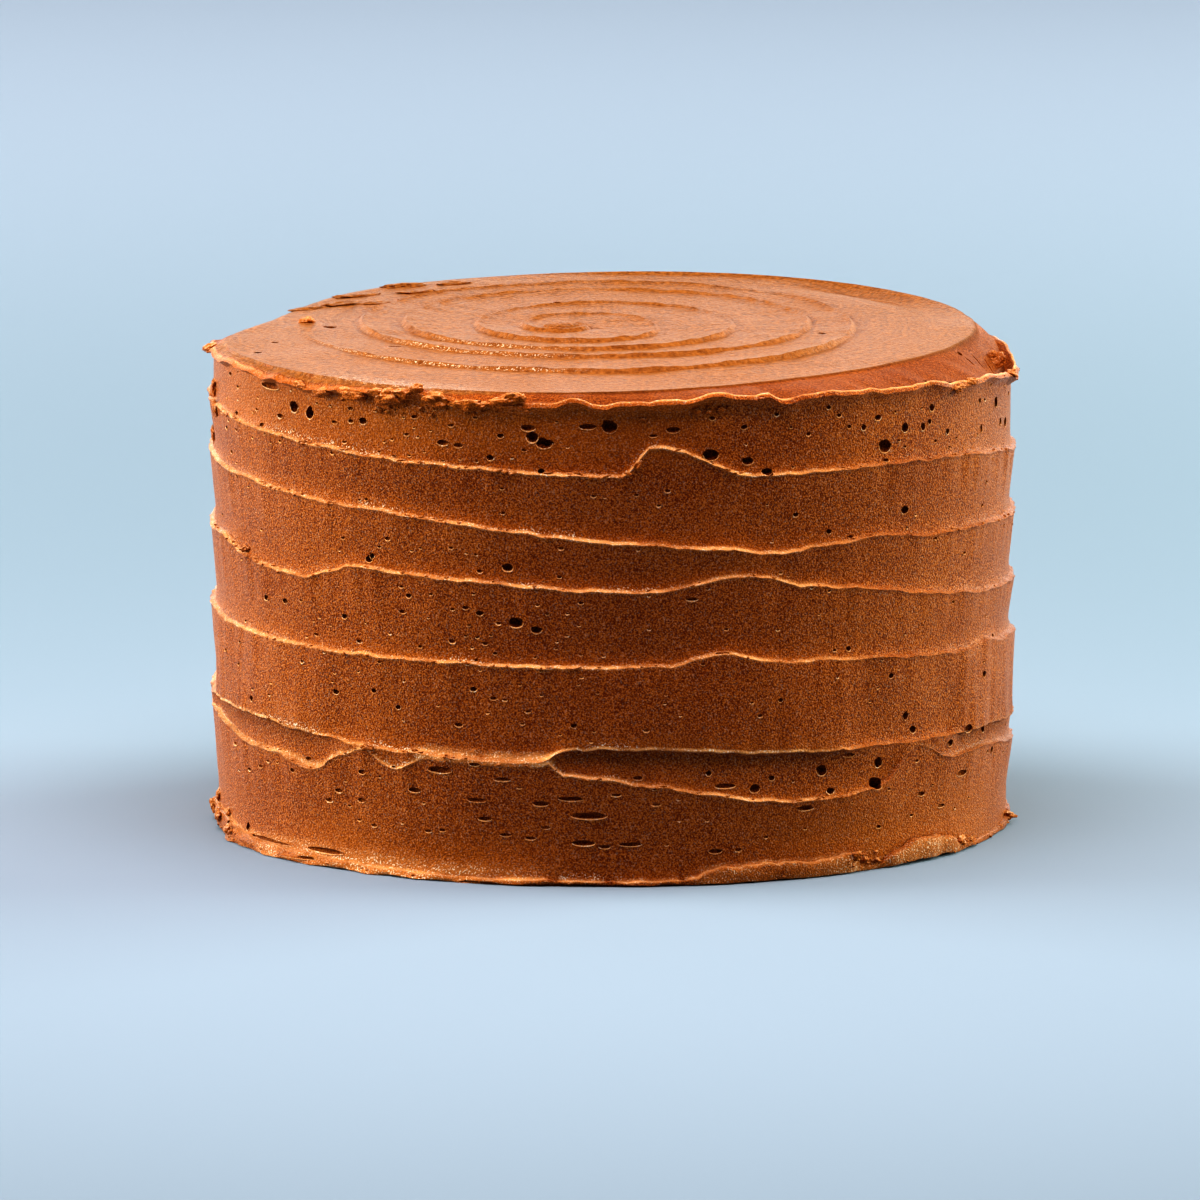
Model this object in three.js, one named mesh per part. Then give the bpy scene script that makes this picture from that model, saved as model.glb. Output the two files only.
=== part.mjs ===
// A tall round chocolate cake, uncut and coated all over in chocolate icing.
// One knife ridge winds down the side as a helix, and a knife spiral runs in over the top.
// Millimetres, +Z up, origin in the middle of the flat base.
// Azimuth runs round the cake in degrees: 0 faces -Y and 90 faces +X.

import * as THREE from "three";
import { mergeVertices } from "three/addons/utils/BufferGeometryUtils.js";

// Overall sizes
const baseRadius = 98.7;        // side in the hollow above a ridge, at the base
const topRadius = 99.5;         // the same under the top edge
const ridgeStand = 1.6;         // how far a knife ridge stands out of that hollow
const topHeight = 122.4;        // flat top, over the middle of the base
const topTilt = 0.014;          // rise of the top towards the back, mm per mm
const columns = 84;             // divisions round the cake

// Height of the side ridge on each turn, every 30 degrees from the left round the front to the right
const ridgeStep = 30;
const ridgeTurns = [
  [108.0, 105.8, 103.2, 101.4, 100.8, 99.4, 94.8],
  [94.6, 92.2, 89.8, 85.0, 82.3, 81.0, 79.0],
  [76.4, 72.6, 75.0, 73.0, 72.4, 65.0, 62.0],
  [56.2, 54.2, 54.2, 54.2, 53.9, 50.4, 48.6],
  [34.5, 34.0, 31.2, 34.0, 31.5, 30.4, 28.4],
  [31.5, 26.0, 30.2, 26.0, 19.3, 25.0, 21.4],
];
const ridgeStart = -270;        // unrolled angle where the ridge leaves the top lip
const ridgeEnd = 2070;          // unrolled angle where it runs out into the foot of the icing

// Places where the knife wavered: turn, azimuth, rise, and reach before and after it in degrees
const wavers = [
  { turn: 0, azimuth: 5.5, rise: 7.6, before: 4.5, after: 15 },
  { turn: 0, azimuth: 152, rise: 2.6, before: 12, after: 16 },
  { turn: 1, azimuth: 23, rise: -1.2, before: 10, after: 8 },
  { turn: 1, azimuth: 40, rise: 1.3, before: 9, after: 14 },
  { turn: 1, azimuth: 196, rise: -2.2, before: 14, after: 10 },
  { turn: 2, azimuth: -74, rise: 2.0, before: 10, after: 8 },
  { turn: 2, azimuth: -50, rise: -1.8, before: 12, after: 7 },
  { turn: 2, azimuth: -40, rise: 1.6, before: 3, after: 10 },
  { turn: 2, azimuth: 20, rise: 3.1, before: 16, after: 8 },
  { turn: 2, azimuth: 214, rise: 3.0, before: 7, after: 14 },
  { turn: 3, azimuth: 14, rise: 2.8, before: 7, after: 12 },
  { turn: 3, azimuth: 68, rise: 1.5, before: 6, after: 8 },
  { turn: 3, azimuth: 146, rise: 2.4, before: 8, after: 12 },
  { turn: 4, azimuth: -11, rise: -2.0, before: 10, after: 5 },
  { turn: 4, azimuth: 172, rise: 2.4, before: 10, after: 10 },
  { turn: 5, azimuth: -47, rise: -3.6, before: 10, after: 6 },
  { turn: 5, azimuth: -12, rise: 3.0, before: 14, after: 6 },
  { turn: 5, azimuth: 48, rise: 7.0, before: 7, after: 9 },
];

// Rows across a band of the side. It leans in from the brow of the ridge above to a hollow,
// and swings out again to the crest of the next ridge. Under the lip of the top it falls back sooner.
const bandFull = 11;            // a band at least this tall carries the full relief
const bandRows = [
  { below: 0.6, stand: 1.15, underLip: 1.15 },
  { middle: true, stand: 0.5, underLip: 0.2 },
  { above: 4.2, stand: 0.05, underLip: 0.05 },
  { above: 1.0, stand: 0.45, underLip: 0.45 },
];

// Lip round the top edge and the shoulder behind it
const lipHeight = 119.9;
const lipStand = 1.4;           // lip crest beyond the side
const lipWidth = 2.4;           // crest to the foot behind it
const lipDepth = 1.3;           // trough behind the lip, where the shoulder is wide
const lipSags = [
  { azimuth: -110, drop: 4.0, before: 26, after: 24 },
  { azimuth: -48, drop: 0.8, before: 18, after: 16 },
  { azimuth: 88, drop: 5.2, before: 46, after: 22 },
  { azimuth: 114, drop: 3.8, before: 20, after: 16 },
];
const lipCup = { azimuth: 86, deeper: 2.2, before: 26, after: 16 };    // deep trough behind the curled lip
const flatRadius = 97.5;        // edge of the flat top, where no bevel cuts into it
const bevels = [
  { azimuth: 40, cut: 15.2, before: 72, after: 105 },
  { azimuth: -108, cut: 9, before: 44, after: 30 },
];
const backRim = { azimuth: 182, rise: 0.9, before: 36, after: 30 };    // raised edge of the flat top

// Spiral on the top: distance of its ridge from the centre every quarter turn, from the left inwards
const spiralCentre = new THREE.Vector2(-1.5, 13);
const spiralNub = new THREE.Vector2(-13, 12);
const spiralDrift = 40;         // inside this distance the centre drifts to the nub
const spiralRadii = [77, 73, 61, 69, 61, 51, 50, 57, 50, 38, 33, 35, 29, 25, 18, 17.5, 13, 8, 4, 0];
const spiralStart = -180;       // azimuth where the ridge leaves the edge of the flat top
const spiralStand = 1.0;
const spiralRows = [
  { after: 1.6, stand: 0.45 },
  { middle: true, stand: 0.15 },
  { before: 1.4, stand: 0 },
];

// Foot of the icing: smears that stand out just above the base, by azimuth
const footHeight = 7;
const footRows = [4.6, 2.2, 0];
const footSmears = [
  { azimuth: -62, stand: 1.3, reach: 24, tall: 5.0 },
  { azimuth: -24, stand: 0.7, reach: 18, tall: 3.0 },
  { azimuth: 24, stand: 1.7, reach: 17, tall: 4.6 },
  { azimuth: 51, stand: 2.3, reach: 9, tall: 6.4 },
  { azimuth: 84, stand: 0.9, reach: 12, tall: 3.0 },
  { azimuth: 128, stand: 1.5, reach: 20, tall: 5.0 },
  { azimuth: 176, stand: 1.1, reach: 24, tall: 4.0 },
  { azimuth: 226, stand: 1.6, reach: 18, tall: 5.4 },
];

const degree = Math.PI / 180;
const stepAngle = 360 / columns;

// Distance from one azimuth to another, between -180 and 180
const swing = (from, to) => THREE.MathUtils.euclideanModulo(to - from + 180, 360) - 180;

// Rounded hump: 1 in its middle and 0 at its reach
function hump(offset, reach) {
  return Math.abs(offset) < reach ? 0.5 + 0.5 * Math.cos(Math.PI * offset / reach) : 0;
}

// The same round a place on the cake that reaches further on one side than on the other
function swell(azimuth, feature) {
  const offset = swing(feature.azimuth, azimuth);
  return hump(offset, offset < 0 ? feature.before : feature.after);
}

// Point of the cake at an azimuth, a distance from the axis and a height
function place(azimuth, radius, height) {
  const turn = azimuth * degree;
  return new THREE.Vector3(radius * Math.sin(turn), -radius * Math.cos(turn), height);
}

const columnAzimuth = (column) => THREE.MathUtils.euclideanModulo(column, columns) * stepAngle;

// Side between the ridges: a slight taper and a little out of round
function sideRadius(azimuth, height) {
  const oval = 0.25 * Math.cos((2 * azimuth + 40) * degree);
  const lobes = 0.2 * Math.cos((3 * azimuth - 70) * degree);
  return THREE.MathUtils.lerp(baseRadius, topRadius, height / topHeight) + oval + lobes;
}

// Lip of the top edge, low in a few places and uneven all round
function lipTop(azimuth) {
  let height = lipHeight + 0.25 * Math.sin(7 * azimuth * degree) + 0.2 * Math.sin(11 * azimuth * degree + 1);
  for (const sag of lipSags) height -= sag.drop * swell(azimuth, sag);
  return height;
}

function lipRadius(azimuth) {
  return sideRadius(azimuth, topHeight) + lipStand + 0.2 * Math.sin(5 * azimuth * degree);
}

const lipCrest = (azimuth) => place(azimuth, lipRadius(azimuth), lipTop(azimuth));

// Height of the side ridge along its whole length
const ridgeAngles = [ridgeStart];
const ridgeHeights = [lipTop(ridgeStart)];
ridgeTurns.forEach((heights, turn) => heights.forEach((height, index) => {
  ridgeAngles.push(360 * turn - 90 + ridgeStep * index);
  ridgeHeights.push(height);
}));
ridgeAngles.push(ridgeEnd);
ridgeHeights.push(footHeight);
const ridgeCurve = new THREE.CubicInterpolant(ridgeAngles, ridgeHeights, 1);

function ridgeHeight(angle) {
  let height = ridgeCurve.evaluate(angle)[0];
  for (const { turn, azimuth, rise, before, after } of wavers) {
    const offset = angle - 360 * turn - azimuth;
    height += rise * hump(offset, offset < 0 ? before : after);
  }
  return height;
}

// Smears at the foot, at a height above the base
function footStand(azimuth, height) {
  let stand = 0;
  for (const smear of footSmears) {
    const round = hump(swing(smear.azimuth, azimuth), smear.reach);
    const low = THREE.MathUtils.clamp(1.6 * (1 - height / smear.tall), 0, 1);
    stand = Math.max(stand, smear.stand * round * low);
  }
  return stand;
}

function footPoint(azimuth, height) {
  return place(azimuth, sideRadius(azimuth, height) + footStand(azimuth, height), height);
}

const triangles = [];

// Four-sided patch, seen from outside in turning order; sides of no length are left out
function patch(a, b, c, d) {
  for (const [p, q, r] of [[a, b, c], [a, c, d]]) {
    if (p.distanceTo(q) > 1e-6 && q.distanceTo(r) > 1e-6 && r.distanceTo(p) > 1e-6) triangles.push(p, q, r);
  }
}

// Patches between two sections that stand side by side, left one first and both from the top down
function joinSections(left, right) {
  for (let row = 0; row + 1 < left.length; row++) patch(left[row], left[row + 1], right[row + 1], right[row]);
}

// The side as one ribbon wound round the cake, from the lip down to the foot
const startColumn = Math.round(ridgeStart / stepAngle);
const endColumn = Math.round(ridgeEnd / stepAngle);

function ridgePoint(column) {
  const azimuth = columnAzimuth(column);
  if (column <= startColumn) return lipCrest(azimuth);
  if (column >= endColumn) return footPoint(azimuth, footHeight);
  const height = ridgeHeight(column * stepAngle);
  const fadeIn = THREE.MathUtils.smoothstep(column - startColumn, 0, 12);
  const fadeOut = THREE.MathUtils.smoothstep(endColumn - column, 0, 24);
  const stand = THREE.MathUtils.lerp(lipStand, ridgeStand, fadeIn) * fadeOut;
  return place(azimuth, sideRadius(azimuth, height) + stand, height);
}

// How far the straight line between two ridges stands out of the side at a height between them
function standAt(azimuth, upper, lower, height) {
  const upperStand = Math.hypot(upper.x, upper.y) - sideRadius(azimuth, upper.z);
  const lowerStand = Math.hypot(lower.x, lower.y) - sideRadius(azimuth, lower.z);
  const along = upper.z > lower.z ? (upper.z - height) / (upper.z - lower.z) : 0;
  return THREE.MathUtils.lerp(upperStand, lowerStand, along);
}

function sideSection(column) {
  const azimuth = columnAzimuth(column);
  const upper = ridgePoint(column - columns);
  const lower = ridgePoint(column);
  const tall = upper.z - lower.z;
  const share = Math.min(1, tall / bandFull);
  const filled = 1 - THREE.MathUtils.smoothstep(tall, 0.5, bandFull);
  const lipped = 1 - THREE.MathUtils.smoothstep(column - columns - startColumn, 0, 10);
  const section = [upper];
  for (const row of bandRows) {
    let height = (upper.z + lower.z) / 2;
    if (row.below) height = upper.z - row.below * share;
    if (row.above) height = lower.z + row.above * share;
    const open = THREE.MathUtils.lerp(row.stand, row.underLip, lipped);
    const stand = THREE.MathUtils.lerp(open, standAt(azimuth, upper, lower, height), filled);
    section.push(place(azimuth, sideRadius(azimuth, height) + stand, height));
  }
  section.push(lower);
  return section;
}

for (let column = startColumn; column < endColumn + columns; column++) {
  joinSections(sideSection(column), sideSection(column + 1));
}

// The flat top, tilted a little, and the ring of its edge
const topAt = (x, y) => topHeight + topTilt * y;

function flatEdge(azimuth) {
  let radius = flatRadius + 0.4 * Math.sin(4 * azimuth * degree);
  for (const bevel of bevels) radius -= bevel.cut * swell(azimuth, bevel);
  const edge = place(azimuth, radius, 0);
  edge.z = topAt(edge.x, edge.y) + backRim.rise * swell(azimuth, backRim);
  return edge;
}

// Spiral ridge: its distance from the drifting centre, then the point itself
const spiralAngles = spiralRadii.map((radius, index) => -90 + 90 * index);
const spiralCurve = new THREE.CubicInterpolant(spiralAngles, spiralRadii, 1);
const spiralFirst = Math.round(spiralStart / stepAngle);
const spiralLast = Math.round(spiralAngles.at(-1) / stepAngle);

function spiralPoint(column) {
  const azimuth = columnAzimuth(column);
  if (column <= spiralFirst) return flatEdge(azimuth);
  const angle = column * stepAngle;
  const distance = column >= spiralLast ? 0 : Math.max(0, spiralCurve.evaluate(Math.max(angle, -90))[0]);
  const centre = spiralNub.clone().lerp(spiralCentre, Math.min(1, distance / spiralDrift));
  const point = place(azimuth, distance, 0);
  point.x += centre.x;
  point.y += centre.y;
  let stand = spiralStand * THREE.MathUtils.smoothstep(column - spiralFirst, 0, 30);
  if (angle < -90) {
    const edge = flatEdge(azimuth);
    const blend = THREE.MathUtils.smoothstep(-90 - angle, 0, 90);
    stand = THREE.MathUtils.lerp(stand, edge.z - topAt(edge.x, edge.y), blend);
    point.lerp(edge, blend);
  }
  point.z = topAt(point.x, point.y) + stand;
  return point;
}

function topSection(column) {
  const outer = spiralPoint(column - columns);
  const inner = spiralPoint(column);
  const outerStand = outer.z - topAt(outer.x, outer.y);
  const innerStand = inner.z - topAt(inner.x, inner.y);
  const wide = Math.hypot(outer.x - inner.x, outer.y - inner.y);
  const share = Math.min(1, wide / 8);
  const section = [outer];
  for (const row of spiralRows) {
    let along = 0.5;
    if (row.after) along = row.after * share / Math.max(wide, 1e-6);
    if (row.before) along = 1 - row.before * share / Math.max(wide, 1e-6);
    const point = outer.clone().lerp(inner, along);
    const crest = THREE.MathUtils.lerp(outerStand, innerStand, along);
    point.z = topAt(point.x, point.y) + THREE.MathUtils.lerp(crest, row.stand, share);
    section.push(wide > 1e-6 ? point : inner);
  }
  section.push(inner);
  return section;
}

for (let column = spiralFirst; column < spiralLast + columns; column++) {
  joinSections(topSection(column + 1), topSection(column));
}

// Rings down from the flat top over the shoulder to the lip, and down the foot to the base
// Where the flat top runs out to the lip there is no trough between the two
function rimSection(azimuth) {
  const edge = flatEdge(azimuth);
  const crest = lipCrest(azimuth);
  const radius = lipRadius(azimuth);
  const wide = radius - lipWidth - Math.hypot(edge.x, edge.y);
  const open = THREE.MathUtils.smoothstep(wide, 1, 8);
  const trough = crest.z - lipDepth - lipCup.deeper * swell(azimuth, lipCup);
  const footHigh = THREE.MathUtils.lerp((2 * edge.z + crest.z) / 3, trough, open);
  const backHigh = THREE.MathUtils.lerp((footHigh + 2 * crest.z) / 3 + 0.2, crest.z - 0.2, open);
  const foot = place(azimuth, radius - lipWidth, footHigh);
  const back = place(azimuth, radius - 0.9, backHigh);
  const shoulder = edge.clone().lerp(foot, 0.55);
  shoulder.z += 0.35 * open;
  return [edge, shoulder, foot, back, crest];
}

function footSection(azimuth) {
  return [footHeight, ...footRows].map((height) => footPoint(azimuth, height));
}

const baseCentre = new THREE.Vector3(0, 0, 0);
for (let column = 0; column < columns; column++) {
  const here = columnAzimuth(column);
  const next = columnAzimuth(column + 1);
  joinSections(rimSection(here), rimSection(next));
  joinSections(footSection(here), footSection(next));
  triangles.push(footPoint(here, 0), baseCentre, footPoint(next, 0));
}

const geometry = mergeVertices(new THREE.BufferGeometry().setFromPoints(triangles), 1e-4);
geometry.computeVertexNormals();

const icing = new THREE.MeshStandardMaterial({ color: 0x92522a, roughness: 0.55, metalness: 0 });
icing.name = "chocolate_icing";
const cake = new THREE.Mesh(geometry, icing);
cake.name = "frosted_cake";

const part = new THREE.Group();
part.name = "chocolate_cake";
part.add(cake);

export default part;
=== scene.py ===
import math
import random

import bpy
from mathutils import Matrix, Vector, noise


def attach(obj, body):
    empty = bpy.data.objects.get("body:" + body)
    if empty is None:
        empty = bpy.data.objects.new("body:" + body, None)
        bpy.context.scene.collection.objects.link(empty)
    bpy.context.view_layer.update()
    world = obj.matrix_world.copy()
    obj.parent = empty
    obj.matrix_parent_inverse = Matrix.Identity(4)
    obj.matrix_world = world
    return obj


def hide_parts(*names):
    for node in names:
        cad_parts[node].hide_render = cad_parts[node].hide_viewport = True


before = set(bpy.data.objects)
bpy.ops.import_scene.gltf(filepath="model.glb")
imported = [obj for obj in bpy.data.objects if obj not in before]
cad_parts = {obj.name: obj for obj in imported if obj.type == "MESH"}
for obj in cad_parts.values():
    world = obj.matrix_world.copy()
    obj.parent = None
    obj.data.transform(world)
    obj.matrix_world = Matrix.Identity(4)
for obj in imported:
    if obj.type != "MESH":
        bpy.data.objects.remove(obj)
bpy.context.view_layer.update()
mm = 0.001
print("frame loaded")


# small helpers

def lerp(a, b, t):
    return a + (b - a) * t


def smoothstep(t, low, high):
    t = min(1.0, max(0.0, (t - low) / (high - low)))
    return t * t * (3 - 2 * t)


def between(t, low, full, fade, end):
    return smoothstep(t, low, full) * (1 - smoothstep(t, fade, end))


def swing(start, end):
    return (end - start + 180) % 360 - 180    # shortest way round, in degrees


def hump(offset, reach):
    return 0.5 + 0.5 * math.cos(math.pi * offset / reach) if abs(offset) < reach else 0.0


def swell(azimuth, middle, before, after):
    offset = swing(middle, azimuth)
    return hump(offset, before if offset < 0 else after)


def curveThrough(places, values):
    # smooth curve through knots, each with the slope between its neighbours
    last = len(places) - 1
    slopes = []
    for i in range(last + 1):
        a, b = max(0, i - 1), min(last, i + 1)
        slopes.append((values[b] - values[a]) / (places[b] - places[a]))

    def at(place):
        place = min(places[-1], max(places[0], place))
        i = 0
        while i < last - 1 and place > places[i + 1]:
            i += 1
        wide = places[i + 1] - places[i]
        t = (place - places[i]) / wide
        return ((2 * t ** 3 - 3 * t ** 2 + 1) * values[i] + (t ** 3 - 2 * t ** 2 + t) * wide * slopes[i]
                + (3 * t ** 2 - 2 * t ** 3) * values[i + 1] + (t ** 3 - t ** 2) * wide * slopes[i + 1])
    return at


def rough(x, y, z, size, salt=0.0):
    return noise.noise(Vector((x / size + salt, y / size - salt, z / size + 2 * salt)))


def onSide(azimuth, radius, height):
    turn = math.radians(azimuth)
    return radius * math.sin(turn), -radius * math.cos(turn), height


def clearSelection():
    if bpy.context.object and bpy.context.object.mode != "OBJECT":
        bpy.ops.object.mode_set(mode="OBJECT")
    bpy.ops.object.select_all(action="DESELECT")


def useOnly(piece):
    clearSelection()
    piece.select_set(True)
    bpy.context.view_layer.objects.active = piece


# camera, at the photograph's angle

camera = {"place": (0, -4.0, 0.69), "aim": (0, 0, 0.06), "lens": 486, "shift": (-0.011, -0.0158)}

clearSelection()
bpy.ops.object.camera_add(location=camera["place"])
eye = bpy.context.object
eye.name = "photoCamera"
eye.rotation_euler = (Vector(camera["aim"]) - Vector(camera["place"])).to_track_quat("-Z", "Y").to_euler()
eye.data.lens = camera["lens"]
eye.data.sensor_width = 36
eye.data.shift_x, eye.data.shift_y = camera["shift"]
bpy.context.scene.camera = eye
print("camera set")


# icing: one knife ridge wound down the side, a lip, a shoulder and a knife spiral on top, in mm and degrees

icing = {
    "columns": 360,              # points round the cake
    "baseRadius": 98.7, "topRadius": 99.5, "ridgeStand": 1.6,
    "topHeight": 122.4, "topTilt": 0.014,
    "ridgeStep": 30,             # between ridge heights, from the left round the front to the right
    "ridgeTurns": [
        [108.0, 105.8, 103.2, 101.4, 100.8, 99.4, 94.8],
        [94.6, 92.2, 89.8, 85.0, 82.3, 81.0, 79.0],
        [76.4, 72.6, 75.0, 73.0, 72.4, 65.0, 62.0],
        [56.2, 54.2, 54.2, 54.2, 53.9, 50.4, 48.6],
        [34.5, 34.0, 31.2, 34.0, 31.5, 30.4, 28.4],
        [31.5, 26.0, 30.2, 26.0, 19.3, 25.0, 21.4]],
    "ridgeStart": -270, "ridgeEnd": 2070,
    "wavers": [                  # turn, azimuth, rise, reach before, reach after
        (0, 5.5, 7.6, 4.5, 15), (0, 152, 2.6, 12, 16),
        (1, 23, -1.2, 10, 8), (1, 40, 1.3, 9, 14), (1, 196, -2.2, 14, 10),
        (2, -74, 2.0, 10, 8), (2, -50, -1.8, 12, 7), (2, -40, 1.6, 3, 10),
        (2, 20, 3.1, 16, 8), (2, 214, 3.0, 7, 14),
        (3, 14, 2.8, 7, 12), (3, 68, 1.5, 6, 8), (3, 146, 2.4, 8, 12),
        (4, -10, -2.4, 20, 3.2), (4, 172, 2.4, 10, 10),
        (5, -47, -3.6, 10, 6), (5, -38, 1.4, 3, 3.5), (5, -32, -3.6, 5.5, 5),
        (5, -12, 3.0, 14, 6), (5, 48, 7.0, 7, 9)],
    "tongue": (5, -9.2, 2.1, 2.3, 1.8),          # turn, azimuth, rise, reaches: blunt end between two turns
    "thickened": [(4, -30, -8, 0.7), (5, -30, -9, 0.7), (5, -56, -40, 0.5)],   # turn, from, to, more stand
    "overhangs": [               # turn, from, to: hangs over the band below
        (4, -84, -40), (4, -10, 40), (4, 56, 92), (4, 150, 200)],
    "bandFull": 11,              # a band at least this tall has the full relief
    "browRows": (0.0, 0.2, 0.55, 1.0, 1.7),          # below the ridge above
    "bandShares": (0.33, 0.67),
    "filletRows": (4.5, 2.8, 1.6, 0.8, 0.45, 0.2, 0.0),   # above the ridge below
    "fillet": 4.5, "bead": 0.8,  # how far above its crest a ridge swings out, and its thin top edge
    "lipHeight": 119.9, "lipStand": 1.1, "lipWidth": 2.4, "lipDepth": 1.3,
    "lipSags": [                 # azimuth, drop, reach before, reach after
        (-110, 4.0, 26, 24), (-48, 0.8, 18, 16), (88, 5.2, 46, 22), (114, 3.8, 20, 16), (-5.5, -0.8, 4, 3),
        (-1.2, 0.8, 3.5, 4), (14.4, -1.1, 5, 3.5), (21.6, -0.6, 3, 2.5), (24, 0.7, 2, 3)],
    "lipTorn": [                 # how much, azimuth, reach before, reach after
        (1.0, -24, 12, 13), (0.5, -52, 9, 9), (0.4, 14, 5, 5), (0.6, 170, 20, 20)],
    "lipCup": (86, 2.2, 26, 16),                 # deep trough behind the curled lip
    "rearHollow": (130, 1.4, 30, 7),             # azimuth, depth, reach, distance inside the rim
    "flatRadius": 97.5,
    "bevels": [(40, 15.2, 72, 105), (-108, 9, 44, 30)],    # azimuth, cut into the flat top, reaches
    "backRim": (160, 1.2, 62, 56),
    "spiralCentre": (-1.5, 13), "spiralNub": (-13, 12), "spiralDrift": 40,
    "spiralRadii": [77, 73, 61, 69, 61, 51, 50, 57, 50, 38, 33, 35, 29, 25, 18, 17.5, 13, 8, 4, 0],
    "spiralStart": -180, "spiralStand": 0.85, "furrow": 0.3,
    "treadRows": (0.0, 0.5, 1.6),          # inside the outer spiral ridge
    "treadShares": (0.25, 0.5, 0.75),
    "riserRows": (2.2, 1.4, 0.8, 0.35, 0.0),     # before the inner spiral ridge
    "footHeight": 7,
    "footFlares": [              # from, to, tall, stand: the side swings out to its base
        (-80, -2, 6.8, 2.2), (-6, 24, 5.0, 0.8), (110, 190, 6.0, 1.6), (200, 250, 5.0, 1.2)],
    "footRolls": [               # from, to, tall at both ends and between them, stand, gap below
        (-106, -72, 5.8, 4.8, 0, 1.0, 0.2), (-74, -48, 3.6, 2.4, 0, 1.5, 0.2),
        (-50, -22, 2.2, 1.4, 0, 0.9, 0.3), (-21, -9, 1.5, 1.4, 0, 1.1, 0.6), (-8, -1, 1.3, 1.2, 0, 0.9, 0.6),
        (0, 10, 1.2, 1.3, 0, 1.0, 0.5), (10.5, 15, 1.4, 4.0, 0, 1.5, 0.4), (14.5, 37, 4.1, 4.8, 0, 1.7, 0.3),
        (42.5, 58.5, 2.8, 4.0, 2.8, 2.0, 0.6), (58, 66, 2.8, 1.4, 0, 1.2, 0.4),
        (78, 96, 2.0, 3.2, 0, 1.0, 0.2), (104, 150, 2.6, 5.0, 0, 1.6, 0.3),
        (152, 200, 4.2, 2.2, 0, 1.2, 0.3), (206, 250, 2.4, 5.2, 0, 1.6, 0.3)],
    "footAbove": (0.3, 0.6, 0.85, 0.98),         # rows from the side down to the roll
    "footRows": [                # height over the gap and stand, in shares of the roll's
        (1.0, 0.55), (0.94, 0.9), (0.8, 1.0), (0.5, 0.96), (0.2, 0.9), (0.02, 0.7), (0, -0.3)],
}
columns = icing["columns"]
stepAngle = 360 / columns
startColumn = round(icing["ridgeStart"] / stepAngle)
endColumn = round(icing["ridgeEnd"] / stepAngle)


def columnAzimuth(column):
    return (column % columns) * stepAngle


def sideRadius(azimuth, height):
    a = math.radians(azimuth)
    outOfRound = 0.25 * math.cos(2 * a + math.radians(40)) + 0.2 * math.cos(3 * a - math.radians(70))
    return lerp(icing["baseRadius"], icing["topRadius"], height / icing["topHeight"]) + outOfRound


def lipTorn(azimuth):
    return sum(amount * swell(azimuth, *spread) for amount, *spread in icing["lipTorn"])


def lipTop(azimuth, ragged=True):
    a = math.radians(azimuth)
    height = icing["lipHeight"] + 0.25 * math.sin(7 * a) + 0.2 * math.sin(11 * a + 1)
    for middle, drop, before, after in icing["lipSags"]:
        height -= drop * swell(azimuth, middle, before, after)
    if ragged:
        x, y, z = onSide(azimuth, 100, 0)
        height += 0.6 * rough(x, y, z, 24, 6) + 1.3 * rough(x, y, z, 10) + 0.5 * rough(x, y, z, 3.2, 4)
        height += 1.1 * lipTorn(azimuth) * rough(x, y, z, 3.8, 17)
    return height


def lipRadius(azimuth):
    x, y, z = onSide(azimuth, 100, 0)
    stand = icing["lipStand"] + 0.2 * math.sin(5 * math.radians(azimuth))
    stand += 0.6 * rough(x, y, z, 9, 9) + 0.2 * rough(x, y, z, 3, 3)
    stand += 0.9 * lipTorn(azimuth) * rough(x, y, z, 4.2, 18)
    return sideRadius(azimuth, icing["topHeight"]) + stand


def lipCrest(azimuth):
    return onSide(azimuth, lipRadius(azimuth), lipTop(azimuth))


ridgeAngles, ridgeHeights = [icing["ridgeStart"]], [lipTop(icing["ridgeStart"], False)]
for turn, heights in enumerate(icing["ridgeTurns"]):
    for index, height in enumerate(heights):
        ridgeAngles.append(360 * turn - 90 + icing["ridgeStep"] * index)
        ridgeHeights.append(height)
ridgeAngles.append(icing["ridgeEnd"])
ridgeHeights.append(icing["footHeight"])
ridgeCurve = curveThrough(ridgeAngles, ridgeHeights)


def ridgeHeight(angle):
    height = ridgeCurve(angle)
    for turn, azimuth, rise, before, after in icing["wavers"]:
        offset = angle - 360 * turn - azimuth
        height += rise * hump(offset, before if offset < 0 else after)
    turn, tip, rise, before, after = icing["tongue"]
    offset = angle - 360 * turn - tip
    if -before < offset < after:
        height += rise * (1 + offset / before if offset < 0 else 1 - math.sqrt(offset / after))
    return min(height, ridgeHeight(angle - 360) - 0.9) if angle > 360 * turn - 90 else height


def footRoll(azimuth):
    # height and stand of the smear that the knife left at the base, with a ragged upper edge
    x, y, z = onSide(azimuth, 100, 0)
    tall, stand, gap = 1.2, 0.2, 0.2
    for start, end, tallStart, tallEnd, arch, most, low in icing["footRolls"]:
        along = swing((start + end) / 2, azimuth) / (end - start) + 0.5
        here = most * between(along, -0.05, 0.06, 0.94, 1.05)
        if here > stand:
            share = min(1.0, max(0.0, along))
            tall, stand, gap = lerp(tallStart, tallEnd, share) + arch * math.sin(math.pi * share), here, low
    tall *= 1 + 0.22 * rough(x, y, z, 7, 61) + 0.2 * rough(x, y, z, 2.6, 62)
    stand *= 1 + 0.3 * rough(x, y, z, 5, 63)
    gap *= 1 + 0.9 * rough(x, y, z, 6, 64) + 0.5 * rough(x, y, z, 2.2, 65)
    return min(icing["footHeight"] - 0.8, tall), stand, max(0.08, min(gap, 0.5 * tall))


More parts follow.
